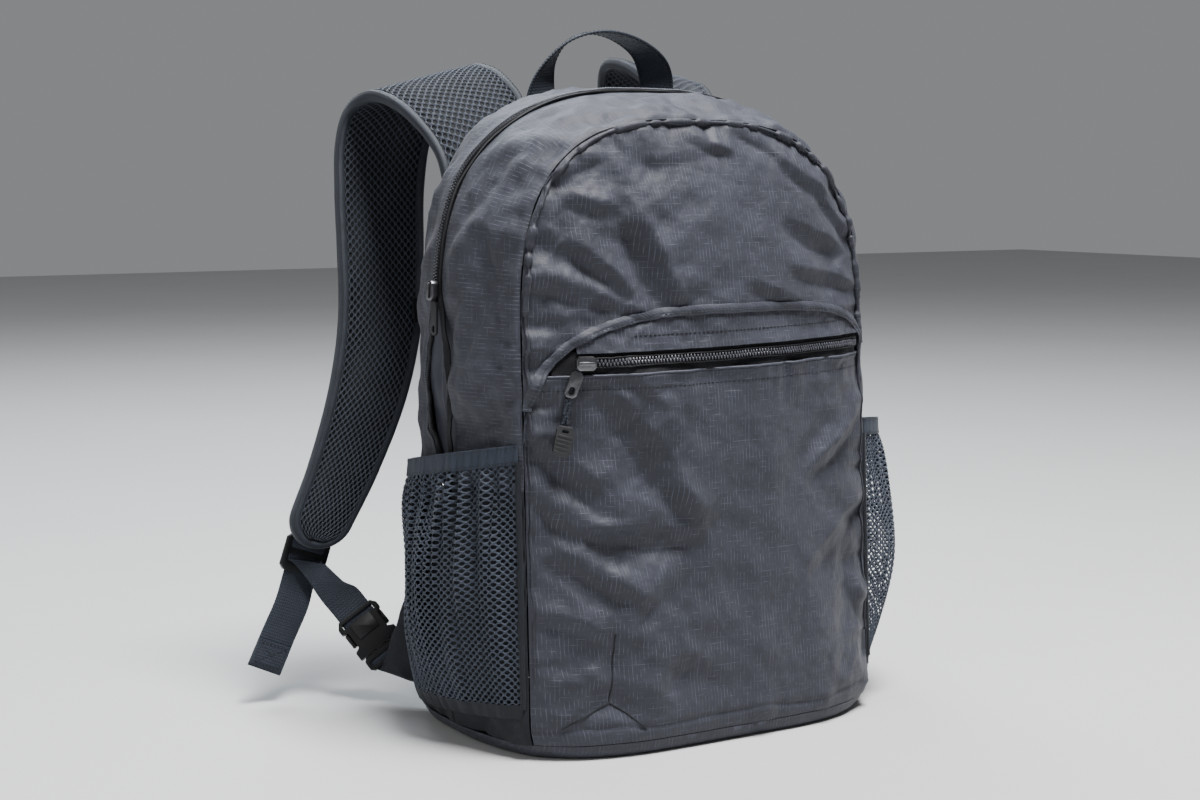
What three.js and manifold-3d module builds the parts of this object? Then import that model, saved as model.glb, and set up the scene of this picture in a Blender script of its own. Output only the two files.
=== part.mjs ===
// A packable daypack in thin ripstop cloth, standing on its base: an arched front panel with a zipped
// pocket, a two-part gusset round the sides and top with the main zip between its parts, a back panel,
// mesh side pockets, a grab handle, and two padded shoulder straps with their webbing and buckles.
//
// Millimetres. +Z up, the front faces -Y, the wearer's side faces +Y. The origin is the middle of the
// flat underside.
import * as THREE from "three";
import { mergeVertices } from "three/addons/utils/BufferGeometryUtils.js";
import Module from "manifold-3d";

const wasm = await Module();
wasm.setup();

// Driving sizes of the bag
const bagHeight = 421; // underside to the crest of the gusset, under the main zip
const frontArchHeight = 400; // underside to the top of the front panel
const backArchHeight = 411; // underside to the top of the back panel
const frontHalfWidth = 134; // middle to the front seam, low down
const backHalfWidth = 133; // middle to the rear seam, low down
const shoulderHeight = 262; // where the sides start to arch over
const archPower = 2.9; // 2 is an ellipse, more is squarer
const sideTaper = 0.03; // share of the width lost from the base to the top
const gussetBelly = 19; // how far the gusset swells past its seams
const frontSeamLow = -64; // front seam's place in depth, at the base and at the top
const frontSeamHigh = -57;
const bagDepth = 148; // front seam to rear seam, at the base and at the top
const topDepth = 121;
const rearSeamLow = frontSeamLow + bagDepth;
const rearSeamHigh = frontSeamHigh + topDepth;
const frontBelly = 25; // how far the front panel swells past its seam
const pocketBelly = 30; // the same for the lower front, which the pocket fills out
const backBelly = 7;
const footHeight = 26; // height over which the walls round in to the base
const footInset = 0.05; // share of the plan lost there
const topLean = -9; // the top leans this far to one side

// Cloth, webbing and clearances
const clothWall = 1.5;
const meshWall = 1.4;
const webbingWall = 1.6;
const seamGap = 0.3; // between two pieces that are sewn together
const trayHeight = 9.5; // rim of the base

// Front pocket: its bound edge arches from the left seam to the right seam
const pocketArchMid = 281; // height of the bound edge in the middle
const pocketArch = {
  left: { end: 203, power: 2.6 },
  right: { end: 230, power: 4 },
};
const pocketZipHeight = 251.5;
const pocketZipRise = 0.016; // how much the zip climbs to the right
const pocketZipLeft = -0.74; // ends of the zip, as shares of the half width
const pocketZipRight = 0.93;
const zipBelow = 8; // tape that shows under the zip's middle, and over it
const zipAbove = 7.5;
const bindingWidth = 5;
const bindingWall = 1.2;
const coilWidth = 7;
const coilWall = 1.6;

// Main zip
const mainTapeHalf = 5.5;
const mainCoilWidth = 5;
const mainZipFoot = 168; // height where the zip ends on both sides
const mainZipOpenTo = 290; // height of the upper slider on the left, over the stretch left open
const mainZipGape = 28; // widest gap of that stretch
const mainZipGapeFront = 0.36; // share of the gap in front of the zip's own line
const mainZipSide = 0.6; // where the zip's line runs, as a share of the gusset's depth: at the sides,
const mainZipTop = 0.5; // over the top,
const mainZipLow = 0.5; // and at its two lower ends

// Side pockets
const pocketRimFront = 200; // height of the rim at the front seam and at the rear seam
const pocketRimRear = 176;
const pocketFootFront = 27; // height of the mesh's lower seam
const pocketFootRear = 13;
const bandHeight = 12;
const pocketLift = 0.6; // mesh clear of the gusset along its seams

// How far each side pocket bulges, where along its width it bulges most, and the share left at its rim
const sidePockets = {
  left: { bulge: 23, crest: 0.56, rim: 0.5 },
  right: { bulge: 47, crest: 0.36, rim: 0.46 },
};

// Webbing, straps and handle
const webbingWidth = 25;
const sternumHeight = 268;
const sternumWidth = 20;
const sternumSag = 6; // how far the chest strap's middle hangs lower
const strapWidth = 66; // shoulder strap, halfway down
const strapReach = 100; // how far the shoulder straps stand off the back
const padThickness = 9;
const trimWidth = 7; // bound edge of the shoulder straps
const handleSpan = 92; // between the middles of the handle's two ends
const handleShift = -4; // its middle, off the bag's
const handleRise = 52; // its crest over the top of the back panel
const tailLength = 70; // loose webbing under each ladder lock
const lockWidth = 33; // ladder lock's frame
const lockHeight = 26;
const lockDrop = 29.8; // the lock's middle under the end of the strap's run
const buckleOut = 14.4; // corner buckle's place: out from the rear seam at the bag's foot,
const buckleBack = 34.6; // behind it,
const buckleHeight = 33.7; // and up
const strapSteps = 20; // sections along each shoulder strap
const strapGap = 0.7; // between a strap's middle and its bound edge

// Soft dents of the front, each a groove. Across, reach (half its length) and spread (half its width) are
// shares of the front's half width, up is a share of its height, and depth is a share of its swell.
const frontDents = [
  { across: -0.4, up: 0.77, reach: 0.22, spread: 0.08, turn: -60, depth: 0.18 },
  { across: -0.77, up: 0.785, reach: 0.18, spread: 0.07, turn: -24, depth: 0.14 },
  { across: 0.61, up: 0.818, reach: 0.19, spread: 0.075, turn: -30, depth: 0.14 },
  { across: 0.72, up: 0.75, reach: 0.13, spread: 0.07, turn: -35, depth: 0.12 },
  { across: -0.4, up: 0.495, reach: 0.27, spread: 0.09, turn: -55, depth: 0.24 },
  { across: -0.72, up: 0.44, reach: 0.18, spread: 0.09, turn: -50, depth: 0.18 },
  { across: -0.41, up: 0.352, reach: 0.25, spread: 0.075, turn: 3, depth: 0.2 },
  { across: -0.45, up: 0.29, reach: 0.19, spread: 0.075, turn: 0, depth: -0.1 },
  { across: -0.64, up: 0.145, reach: 0.18, spread: 0.052, turn: 90, depth: 0.12 },
  { across: -0.78, up: 0.072, reach: 0.12, spread: 0.045, turn: 33, depth: 0.1 },
  { across: -0.57, up: 0.07, reach: 0.1, spread: 0.045, turn: -40, depth: 0.1 },
  { across: 0.58, up: 0.482, reach: 0.22, spread: 0.067, turn: 42, depth: 0.16 },
  { across: 0.79, up: 0.21, reach: 0.22, spread: 0.075, turn: 82, depth: 0.12 },
];

// Soft dents of the gusset: side is -1 for the left. Across, reach and spread are shares of its depth
// from seam to seam, measured from the front seam, and depth is a share of its swell.
const gussetDents = [
  { side: -1, across: 0.18, up: 0.75, reach: 0.24, spread: 0.086, turn: 62, depth: 0.21 },
  { side: -1, across: 0.48, up: 0.645, reach: 0.21, spread: 0.086, turn: 76, depth: 0.18 },
  { side: -1, across: 0.2, up: 0.58, reach: 0.16, spread: 0.071, turn: 40, depth: 0.16 },
  { side: 1, across: 0.27, up: 0.74, reach: 0.24, spread: 0.086, turn: 108, depth: 0.21 },
  { side: 1, across: 0.56, up: 0.6, reach: 0.21, spread: 0.086, turn: 80, depth: 0.18 },
];

const { PI, abs, cos, max, min, sin, sqrt } = Math;
const { clamp, lerp: mix, smoothstep } = THREE.MathUtils;
const point = (x, y, z) => new THREE.Vector3(x, y, z);

// Meshes

// A closed mesh from points and triangles, with its faces pointing out.
function closedMesh(points, triangles) {
  let volume = 0;
  for (const [a, b, c] of triangles) {
    volume += points[a].dot(points[b].clone().cross(points[c]));
  }
  const order = volume < 0 ? triangles.map(([a, b, c]) => [a, c, b]) : triangles;
  const geometry = new THREE.BufferGeometry().setFromPoints(points);
  geometry.setIndex(order.flat());
  return geometry;
}

// A thin solid that follows at(u, v), u and v from 0 to 1. Its inner face lies lift off that surface, on
// the side of du x dv, and its outer face a wall further out.
function shell({ at, across, along, wall, lift = 0 }) {
  const step = 1e-4;
  const points = [];
  const layers = [lift, lift + wall];
  for (const height of layers) {
    for (let i = 0; i <= across; i++) {
      for (let j = 0; j <= along; j++) {
        const u = i / across;
        const v = j / along;
        const du = at(min(u + step, 1), v).sub(at(max(u - step, 0), v));
        const dv = at(u, min(v + step, 1)).sub(at(u, max(v - step, 0)));
        points.push(at(u, v).addScaledVector(du.cross(dv).normalize(), height));
      }
    }
  }
  const layer = (across + 1) * (along + 1);
  const index = (i, j, k) => k * layer + i * (along + 1) + j;
  const triangles = [];
  const quad = (a, b, c, d) => triangles.push([a, b, c], [a, c, d]);
  for (let i = 0; i < across; i++) {
    for (let j = 0; j < along; j++) {
      quad(index(i, j, 1), index(i + 1, j, 1), index(i + 1, j + 1, 1), index(i, j + 1, 1));
      quad(index(i, j, 0), index(i, j + 1, 0), index(i + 1, j + 1, 0), index(i + 1, j, 0));
    }
    quad(index(i, 0, 0), index(i + 1, 0, 0), index(i + 1, 0, 1), index(i, 0, 1));
    quad(index(i, along, 0), index(i, along, 1), index(i + 1, along, 1), index(i + 1, along, 0));
  }
  for (let j = 0; j < along; j++) {
    quad(index(0, j, 0), index(0, j, 1), index(0, j + 1, 1), index(0, j + 1, 0));
    quad(index(across, j, 0), index(across, j + 1, 0), index(across, j + 1, 1), index(across, j, 1));
  }
  return closedMesh(points, triangles);
}

// A solid through loops of equally many points, with its two ends capped.
function loft(loops) {
  const count = loops[0].length;
  const points = loops.flat();
  const triangles = [];
  for (let i = 0; i + 1 < loops.length; i++) {
    for (let j = 0; j < count; j++) {
      const next = (j + 1) % count;
      const [a, b] = [i * count + j, i * count + next];
      triangles.push([a, b, b + count], [a, b + count, a + count]);
    }
  }
  const last = (loops.length - 1) * count;
  for (let j = 1; j + 1 < count; j++) {
    triangles.push([0, j + 1, j], [last, last + j, last + j + 1]);
  }
  return closedMesh(points, triangles);
}

// The bag's main surfaces

const seamFrontY = (z) => mix(frontSeamLow, frontSeamHigh, z / frontArchHeight);
const seamRearY = (z) => mix(rearSeamLow, rearSeamHigh, z / backArchHeight);

// The walls round in where they meet the base, and the top leans a little.
function settle(p) {
  const share = max(0, 1 - p.z / footHeight);
  const scale = 1 - footInset * share * share;
  const lean = (topLean * p.z) / bagHeight;
  return point(p.x * scale + lean, p.y * scale, p.z);
}

// How deep the dents of a table are at a place, across and up in millimetres. One share of a row's
// across, reach and spread is unit long, and one share of its depth is swell.
function dentDepth(rows, across, up, { unit, swell }) {
  let depth = 0;
  for (const row of rows) {
    const turn = THREE.MathUtils.degToRad(row.turn);
    const [dx, dz] = [across - row.across * unit, up - row.up * frontArchHeight];
    const along = (dx * cos(turn) + dz * sin(turn)) / (row.reach * unit);
    const off = (dz * cos(turn) - dx * sin(turn)) / (row.spread * unit);
    depth += row.depth * swell * Math.exp(-(along ** 2) - off ** 2);
  }
  return depth;
}

// A station says where on the arch a point is: c is its share of the half width, q how far it is from
// the shoulder to the top, and z its height where the side is still straight.
function archPoint(half, top, { side, c, q, z }) {
  const height = q > 0 ? shoulderHeight + q * (top - shoulderHeight) : z;
  return { x: side * c * half * (1 - (sideTaper * height) / top), z: height };
}

const gussetFoot = trayHeight + seamGap + 0.2;

// Stations evenly spaced along the arch, from the left foot over the top to the right foot.
const stationAt = (() => {
  const fine = 200;
  const stations = [];
  for (let i = 0; i <= fine; i++) {
    stations.push({ c: 1, q: 0, z: mix(gussetFoot, shoulderHeight, i / fine) });
  }
  for (let i = 1; i <= fine; i++) {
    const angle = ((PI / 2) * i) / fine;
    stations.push({ c: cos(angle) ** (2 / archPower), q: sin(angle) ** (2 / archPower), z: 0 });
  }
  stations[stations.length - 1].c = 0;
  const runs = [0];
  for (let i = 1; i < stations.length; i++) {
    const here = archPoint(frontHalfWidth, frontArchHeight, { side: 1, ...stations[i] });
    const back = archPoint(frontHalfWidth, frontArchHeight, { side: 1, ...stations[i - 1] });
    runs.push(runs[i - 1] + Math.hypot(here.x - back.x, here.z - back.z));
  }
  const total = runs[runs.length - 1];
  return (t) => {
    const side = t < 0.5 ? -1 : 1;
    const run = total * (1 - abs(2 * t - 1));
    let i = 1;
    while (i < runs.length - 1 && runs[i] < run) i++;
    const share = clamp((run - runs[i - 1]) / (runs[i] - runs[i - 1]), 0, 1);
    const [from, to] = [stations[i - 1], stations[i]];
    return {
      side,
      c: mix(from.c, to.c, share),
      q: mix(from.q, to.q, share),
      z: mix(from.z || shoulderHeight, to.z || shoulderHeight, share),
    };
  };
})();

const bellyCrest = 0.58; // share of the depth where the gusset swells most
const crownBelly = bagHeight - mix(frontArchHeight, backArchHeight, bellyCrest);

// A point of the gusset: v runs from the front seam, 0, to the rear seam, 1.
function gussetPoint(station, v) {
  const front = archPoint(frontHalfWidth, frontArchHeight, station);
  const rear = archPoint(backHalfWidth, backArchHeight, station);
  const rise = station.q ** (archPower - 1) / (frontArchHeight - shoulderHeight);
  const outward = (station.side * station.c ** (archPower - 1)) / frontHalfWidth;
  const length = Math.hypot(rise, outward);
  const place = abs(2 * v ** (Math.log(0.5) / Math.log(bellyCrest)) - 1);
  const swell = (1 - min(1, place) ** 2.5) ** 0.6;
  const y = mix(seamFrontY(front.z), seamRearY(rear.z), v);
  const dents = gussetDents.filter((row) => row.side === station.side);
  const unit = seamRearY(front.z) - seamFrontY(front.z);
  const level = mix(front.z, rear.z, v);
  const dent = dentDepth(dents, v * unit, level, { unit, swell: gussetBelly }) * swell;
  const belly = mix(gussetBelly, crownBelly, station.q ** 3) * swell - dent;
  const x = mix(front.x, rear.x, v) + (belly * outward) / length;
  return settle(point(x, y, level + (belly * rise) / length));
}

const depthAt = (station) => {
  const { z } = archPoint(frontHalfWidth, frontArchHeight, station);
  return seamRearY(z) - seamFrontY(z);
};

// A point of the front: a is its share of the half width, from -1 to 1. Low down the swell is squarer.
const bellyPower = 2.4;
const basePower = 4.5;
const fullHeight = 150; // height where the front's swell has its upper form

function frontPoint(a, z) {
  const q = max(0, (z - shoulderHeight) / (frontArchHeight - shoulderHeight));
  const edge = min(1, (abs(a) ** archPower + q ** archPower) ** (1 / archPower));
  const full = mix(pocketBelly, frontBelly, smoothstep(z, 200, pocketArchMid + 20));
  const rise = 1 - edge ** mix(basePower, bellyPower, smoothstep(z, 0, fullHeight));
  const x = a * frontHalfWidth * (1 - (sideTaper * z) / frontArchHeight);
  const dent = dentDepth(frontDents, x, z, { unit: frontHalfWidth, swell: frontBelly }) * min(1, 3 * rise);
  return settle(point(x, seamFrontY(z) - full * rise + dent, z));
}

function backPoint(a, z) {
  const q = max(0, (z - shoulderHeight) / (backArchHeight - shoulderHeight));
  const edge = min(1, (abs(a) ** archPower + q ** archPower) ** (1 / archPower));
  const x = a * backHalfWidth * (1 - (sideTaper * z) / backArchHeight);
  return settle(point(x, seamRearY(z) + backBelly * (1 - edge ** bellyPower), z));
}

// The arched top edge of the front or back, for columns evenly spread round it, u from 0 to 1.
function archColumn(u, top) {
  const angle = (u - 0.5) * PI;
  return {
    a: Math.sign(angle) * abs(sin(angle)) ** (2 / archPower),
    top: shoulderHeight + (top - shoulderHeight) * cos(angle) ** (2 / archPower),
  };
}

// Height of the pocket's bound edge, grown by some millimetres all round, and of its zip, at a share a
// of the half width.
function pocketEdge(a, grow = 0) {
  const { end, power } = a < 0 ? pocketArch.left : pocketArch.right;
  const share = min(1, abs(a) / (1 + grow / frontHalfWidth));
  return end + (pocketArchMid + grow - end) * (1 - share ** power) ** (1 / power);
}
const pocketZip = (a) => pocketZipHeight + pocketZipRise * a * frontHalfWidth;

// Panels of the body

function frontPanel() {
  const at = (u, v) => {
    const column = archColumn(u, frontArchHeight);
    const low = pocketEdge(column.a, seamGap);
    return frontPoint(column.a, mix(low, max(column.top, low + 1), v));
  };
  return shell({ at, across: 24, along: 9, wall: clothWall, lift: -clothWall });
}

const pocketTop = (a) => min(pocketZip(a) - zipBelow, pocketEdge(a, -seamGap));

function pocketPanel() {
  const at = (u, v) => {
    const a = sin((u - 0.5) * PI);
    return frontPoint(a, mix(gussetFoot, pocketTop(a), v));
  };
  return shell({ at, across: 26, along: 11, wall: clothWall, lift: -clothWall });
}

// The strip of the pocket over its zip, under the bound edge.
function pocketHeader() {
  const at = (u, v) => {
    const a = mix(-0.76, 0.955, u);
    return frontPoint(a, mix(pocketZip(a) + zipAbove, pocketEdge(a, -seamGap), v));
  };
  return shell({ at, across: 18, along: 2, wall: clothWall, lift: -clothWall });
}

function pocketZipTape() {
  const at = (u, v) => {
    const a = mix(-0.88, 0.955, u);
    const top = min(pocketZip(a) + zipAbove, pocketEdge(a, -seamGap));
    return frontPoint(a, mix(pocketTop(a) + seamGap, top - seamGap, v));
  };
  return shell({ at, across: 20, along: 1, wall: clothWall, lift: -clothWall - seamGap });
}

function pocketZipCoil() {
  const at = (u, v) => {
    const a = mix(pocketZipLeft, pocketZipRight, u);
    return frontPoint(a, pocketZip(a) + coilWidth * (v - 0.5));
  };
  return shell({ at, across: 24, along: 1, wall: coilWall, lift: 0.1 });
}

// The bound edge of the pocket, as a strip over the cloth edges that meet there.
function pocketBinding() {
  const at = (u, v) => {
    const angle = (u - 0.5) * PI * 0.985;
    const { power } = angle < 0 ? pocketArch.left : pocketArch.right;
    const a = Math.sign(angle) * abs(sin(angle)) ** (2 / power) * 0.992;
    const step = 0.004;
    const [from, to] = [max(a - step, -0.998), min(a + step, 0.998)];
    const run = (to - from) * frontHalfWidth;
    const climb = pocketEdge(to) - pocketEdge(from);
    const length = Math.hypot(run, climb);
    const off = bindingWidth * (v - 0.5);
    return frontPoint(a - (off * climb) / length / frontHalfWidth, pocketEdge(a) + (off * run) / length);
  };
  return shell({ at, across: 36, along: 1, wall: bindingWall, lift: 0.9 });
}

const gussetColumns = 44; // facets along the arch, which the main zip's tapes share
const shareOf = (station, length) => length / depthAt(station);
const levelOf = (station) => archPoint(frontHalfWidth, frontArchHeight, station).z;
const mainZipV = (station) => {
  const level = levelOf(station);
  const side = mix(mainZipLow, mainZipSide, smoothstep(level, mainZipFoot, mainZipFoot + 80));
  return mix(side, mainZipTop, smoothstep(level, frontArchHeight - 60, frontArchHeight));
};
const tapeHalf = (station) => {
  const near = smoothstep(levelOf(station), mainZipFoot - 14, mainZipFoot);
  return mix(0.2, mainTapeHalf, near);
};
const seamStep = clothWall + seamGap + 0.2;

// How far the zip's front edge, -1, or rear edge, 1, lies off its line: it is open on the left between
// the two sliders.
function gapeOf(station, edge) {
  const place = (levelOf(station) - mainZipFoot) / (mainZipOpenTo - mainZipFoot);
  const open = station.side < 0 && place > 0 && place < 1;
  const share = edge < 0 ? mainZipGapeFront : 1 - mainZipGapeFront;
  return open ? mainZipGape * share * sin(PI * place) : 0;
}

function gussetStrip(from, to, along) {
  const at = (u, v) => {
    const station = stationAt(u);
    return gussetPoint(station, mix(from(station), to(station), v));
  };
  return shell({ at, across: gussetColumns, along, wall: clothWall, lift: -clothWall });
}

const gussetFront = () =>
  gussetStrip(
    (station) => shareOf(station, seamStep),
    (station) => mainZipV(station) - shareOf(station, tapeHalf(station) + gapeOf(station, -1) + seamGap),
    5,
  );
const gussetRear = () =>
  gussetStrip(
    (station) => mainZipV(station) + shareOf(station, tapeHalf(station) + gapeOf(station, 1) + seamGap),
    (station) => 1 - shareOf(station, seamStep),
    3,
  );

// Shares along the arch where the main zip ends, left and right, and where its open stretch ends.
function arcShare(height, side) {
  let [low, high] = [0, 0.5];
  for (let i = 0; i < 30; i++) {
    const middle = (low + high) / 2;
    if (levelOf(stationAt(middle)) < height) low = middle;
    else high = middle;
  }
  return side < 0 ? low : 1 - low;
}
const startColumn = Math.ceil(arcShare(mainZipFoot, -1) * gussetColumns);
const mainZipStart = startColumn / gussetColumns;
const mainZipEnd = 1 - mainZipStart;
const mainZipClosedFrom = arcShare(mainZipOpenTo, -1);

// One tape of the main zip, side is -1 for the front tape and 1 for the rear one.
function mainZipTape(side) {
  const at = (u, v) => {
    const station = stationAt(mix(mainZipStart, mainZipEnd, u));
    const inner = shareOf(station, gapeOf(station, side) + 0.2);
    const outer = shareOf(station, mainTapeHalf + gapeOf(station, side));
    const width = side < 0 ? mix(-outer, -inner, v) : mix(inner, outer, v);
    return gussetPoint(station, mainZipV(station) + width);
  };
  return shell({ at, across: gussetColumns - 2 * startColumn, along: 1, wall: 1, lift: -clothWall });
}

function mainZipCoil(from, to) {
  const at = (u, v) => {
    const station = stationAt(mix(from, to, u));
    return gussetPoint(station, mainZipV(station) + shareOf(station, mainCoilWidth * (v - 0.5)));
  };
  return shell({ at, across: 40, along: 1, wall: coilWall, lift: 0.1 });
}

function backPanel() {
  const at = (u, v) => {
    const column = archColumn(1 - u, backArchHeight);
    return backPoint(column.a, mix(gussetFoot, max(column.top, gussetFoot + 1), v));
  };
  return shell({ at, across: 20, along: 8, wall: clothWall, lift: -clothWall });
}

// The body's outline at a height near the base, as a loop of points.
function bodyLoop(z) {
  const loop = [];
  const [wide, deep] = [15, 6];
  const station = (side) => ({ side, c: 1, q: 0, z });
  for (let i = 0; i < wide; i++) loop.push(frontPoint(sin((i / wide - 0.5) * PI), z));
  for (let i = 0; i < deep; i++) loop.push(gussetPoint(station(1), i / deep));
  for (let i = 0; i < wide; i++) loop.push(backPoint(sin((0.5 - i / wide) * PI), z));
  for (let i = 0; i < deep; i++) loop.push(gussetPoint(station(-1), 1 - i / deep));
  return loop;
}

// The base: a shallow tray with a flat underside.
function baseTray() {
  const ring = (z, inset, level = z) =>
    bodyLoop(max(z, 0)).map((p) => {
      const length = Math.hypot(p.x, p.y);
      const scale = (length - inset) / length;
      return point(p.x * scale, p.y * scale, level);
    });
  const middle = (level) => bodyLoop(0).map((p) => point(p.x * 0.02, p.y * 0.02, level));
  return loft([
    middle(clothWall),
    ring(0, 9, clothWall),
    ring(3, clothWall + 1, 3.6),
    ring(trayHeight, clothWall),
    ring(trayHeight, 0),
    ring(2.5, 0.8),
    ring(0, 6),
    middle(0),
  ]);
}

// Side pockets

// A place on a side pocket: u from its front seam to its rear one, v from its foot to its rim.
function sidePocketPoint(side, u, v) {
  const foot = mix(pocketFootFront, pocketFootRear, u);
  const rim = mix(pocketRimFront, pocketRimRear, u);
  const station = { side, c: 1, q: 0, z: mix(foot, rim, v) };
  const { bulge, crest, rim: rimShare } = side < 0 ? sidePockets.left : sidePockets.right;
  const full = (1 - (1 - v) ** 3) * mix(1, rimShare, smoothstep(v, 0.35, 1));
  const place = abs(2 * u ** (Math.log(0.5) / Math.log(crest)) - 1);
  const p = gussetPoint(station, mix(0.022, 0.965, u));
  p.x += side * bulge * full * (1 - min(1, place) ** 2.4);
  return p;
}

function sidePocketStrip(side, fromRim, toRim, along) {
  const at = (u, v) => {
    const height = mix(pocketRimFront - pocketFootFront, pocketRimRear - pocketFootRear, u);
    const top = 1 - toRim / height;
    const foot = fromRim ? 1 - fromRim / height : 0;
    return sidePocketPoint(side, side < 0 ? 1 - u : u, mix(foot, top, v));
  };
  return shell({ at, across: 12, along, wall: meshWall, lift: pocketLift });
}

// Straps, webbing and handle

// A soft strip through a table of stations, each with its centre, the direction of its width and its
// width. place(l, w, h) is the point l along it, w across it and h off its middle face.
function strip(rows) {
  const through = (points) => new THREE.CatmullRomCurve3(points, false, "centripetal");
  const centre = through(rows.map((row) => point(...row.at)));
  const side = through(rows.map((row) => point(...row.side)));
  const width = through(rows.map((row, i) => point(row.width, 40 * i, 0)));
  centre.arcLengthDivisions = 400;
  const length = centre.getLength();
  const turned = (l) => centre.getUtoTmapping(clamp(l / length, 0, 1));
  const place = (l, w, h) => {
    const t = turned(l);
    const tangent = centre.getTangent(t);
    const across = side.getPoint(t).normalize();
    const off = tangent.clone().cross(across).normalize();
    const spare = l - clamp(l, 0, length);
    const p = centre.getPoint(t).addScaledVector(tangent, spare);
    return p.addScaledVector(across, w).addScaledVector(off, h);
  };
  return { length, place, widthAt: (l) => width.getPoint(turned(l)).x };
}

// Webbing along a strip, as a flat bar.
function webbing(rows, steps, wall = webbingWall) {
  const run = strip(rows);
  const loops = [];
  for (let i = 0; i <= steps; i++) {
    const l = (run.length * i) / steps;
    const [w, h] = [run.widthAt(l) / 2, wall / 2];
    loops.push([[-w, -h], [w, -h], [w, h], [-w, h]].map(([a, b]) => run.place(l, a, b)));
  }
  return loft(loops);
}

// The padded middle of a shoulder strap, inside its bound edge.
function padCore(rows) {
  const run = strip(rows);
  const loops = [];
  const steps = strapSteps;
  for (let i = 0; i <= steps; i++) {
    const l = (run.length * i) / steps;
    const round = run.widthAt(run.length) / 2 - trimWidth - strapGap;
    const left = run.length - l;
    const end = left < round ? sqrt(max(0.06, 1 - ((round - left) / round) ** 2)) : 1;
    const w = (run.widthAt(l) / 2 - trimWidth - strapGap) * end;
    const h = padThickness / 2;
    const bend = 2.5;
    const section = [[-w, -h + bend], [bend - w, -h], [w - bend, -h], [w, -h + bend]];
    const back = section.map(([a, b]) => [-a, -b]);
    loops.push([...section, ...back].map(([a, b]) => run.place(l, a, b)));
  }
  return loft(loops);
}

// The bound edge of a shoulder strap: down one side, round the end and up the other.
function padTrim(rows) {
  const run = strip(rows);
  const half = trimWidth / 2;
  const path = [];
  const steps = strapSteps;
  const round = run.widthAt(run.length) / 2 - half;
  const edge = (l) => run.widthAt(l) / 2 - half;
  for (let i = 0; i <= steps; i++) {
    const l = (run.length * i) / steps;
    path.push([l, edge(l)]);
  }
  for (let i = 1; i < 8; i++) {
    const angle = (PI * i) / 8;
    path.push([run.length + round * sin(angle), round * cos(angle)]);
  }
  for (let i = steps; i >= 0; i--) {
    const l = (run.length * i) / steps;
    path.push([l, -edge(l)]);
  }
  const loops = path.map(([l, w], i) => {
    const [before, after] = [path[max(i - 1, 0)], path[min(i + 1, path.length - 1)]];
    const [dl, dw] = [after[0] - before[0], after[1] - before[1]];
    const size = Math.hypot(dl, dw);
    const [nl, nw] = [-dw / size, dl / size];
    const h = padThickness / 2;
    const section = [[-half, 1 - h], [-half, h - 1], [0, h], [half, h - 2], [half, 2 - h], [0, -h]];
    return section.map(([k, b]) => run.place(l + nl * k, w + nw * k, b));
  });
  return loft(loops);
}

// A flat part from an outline in the plane of x and y, given holes, its thickness along z.
function plate(outline, holes, thickness) {
  const shape = new THREE.Shape(outline.map(([x, y]) => new THREE.Vector2(x, y)));
  for (const hole of holes) {
    shape.holes.push(new THREE.Path(hole.map(([x, y]) => new THREE.Vector2(x, y))));
  }
  const geometry = new THREE.ExtrudeGeometry(shape, { depth: thickness, bevelEnabled: false });
  geometry.translate(0, 0, -thickness / 2);
  return bare(geometry);
}

const bare = (geometry) => {
  const copy = geometry.clone();
  copy.deleteAttribute("normal");
  copy.deleteAttribute("uv");
  return mergeVertices(copy, 1e-4);
};

// A rectangle with cut corners, anticlockwise, as points.
function block(width, height, cut, x = 0, y = 0) {
  const [w, h] = [width / 2, height / 2];
  return [
    [x - w + cut, y - h], [x + w - cut, y - h], [x + w, y - h + cut], [x + w, y + h - cut],
    [x + w - cut, y + h], [x - w + cut, y + h], [x - w, y + h - cut], [x - w, y - h + cut],
  ];
}
const slot = (width, height, x, y) => block(width, height, 0.6, x, y).reverse();

// Moves a part to a place, with its x along one direction and its y near another.
function placed(geometry, at, xDirection, yDirection) {
  const x = point(...xDirection).normalize();
  const z = x.clone().cross(point(...yDirection)).normalize();
  const y = z.clone().cross(x);
  const matrix = new THREE.Matrix4().makeBasis(x, y, z).setPosition(...at);
  return geometry.clone().applyMatrix4(matrix);
}

function mirrored(geometry) {
  const copy = geometry.clone().applyMatrix4(new THREE.Matrix4().makeScale(-1, 1, 1));
  const index = Array.from(copy.index.array);
  for (let i = 0; i < index.length; i += 3) {
    [index[i + 1], index[i + 2]] = [index[i + 2], index[i + 1]];
  }
  copy.setIndex(index);
  return copy;
}

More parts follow.
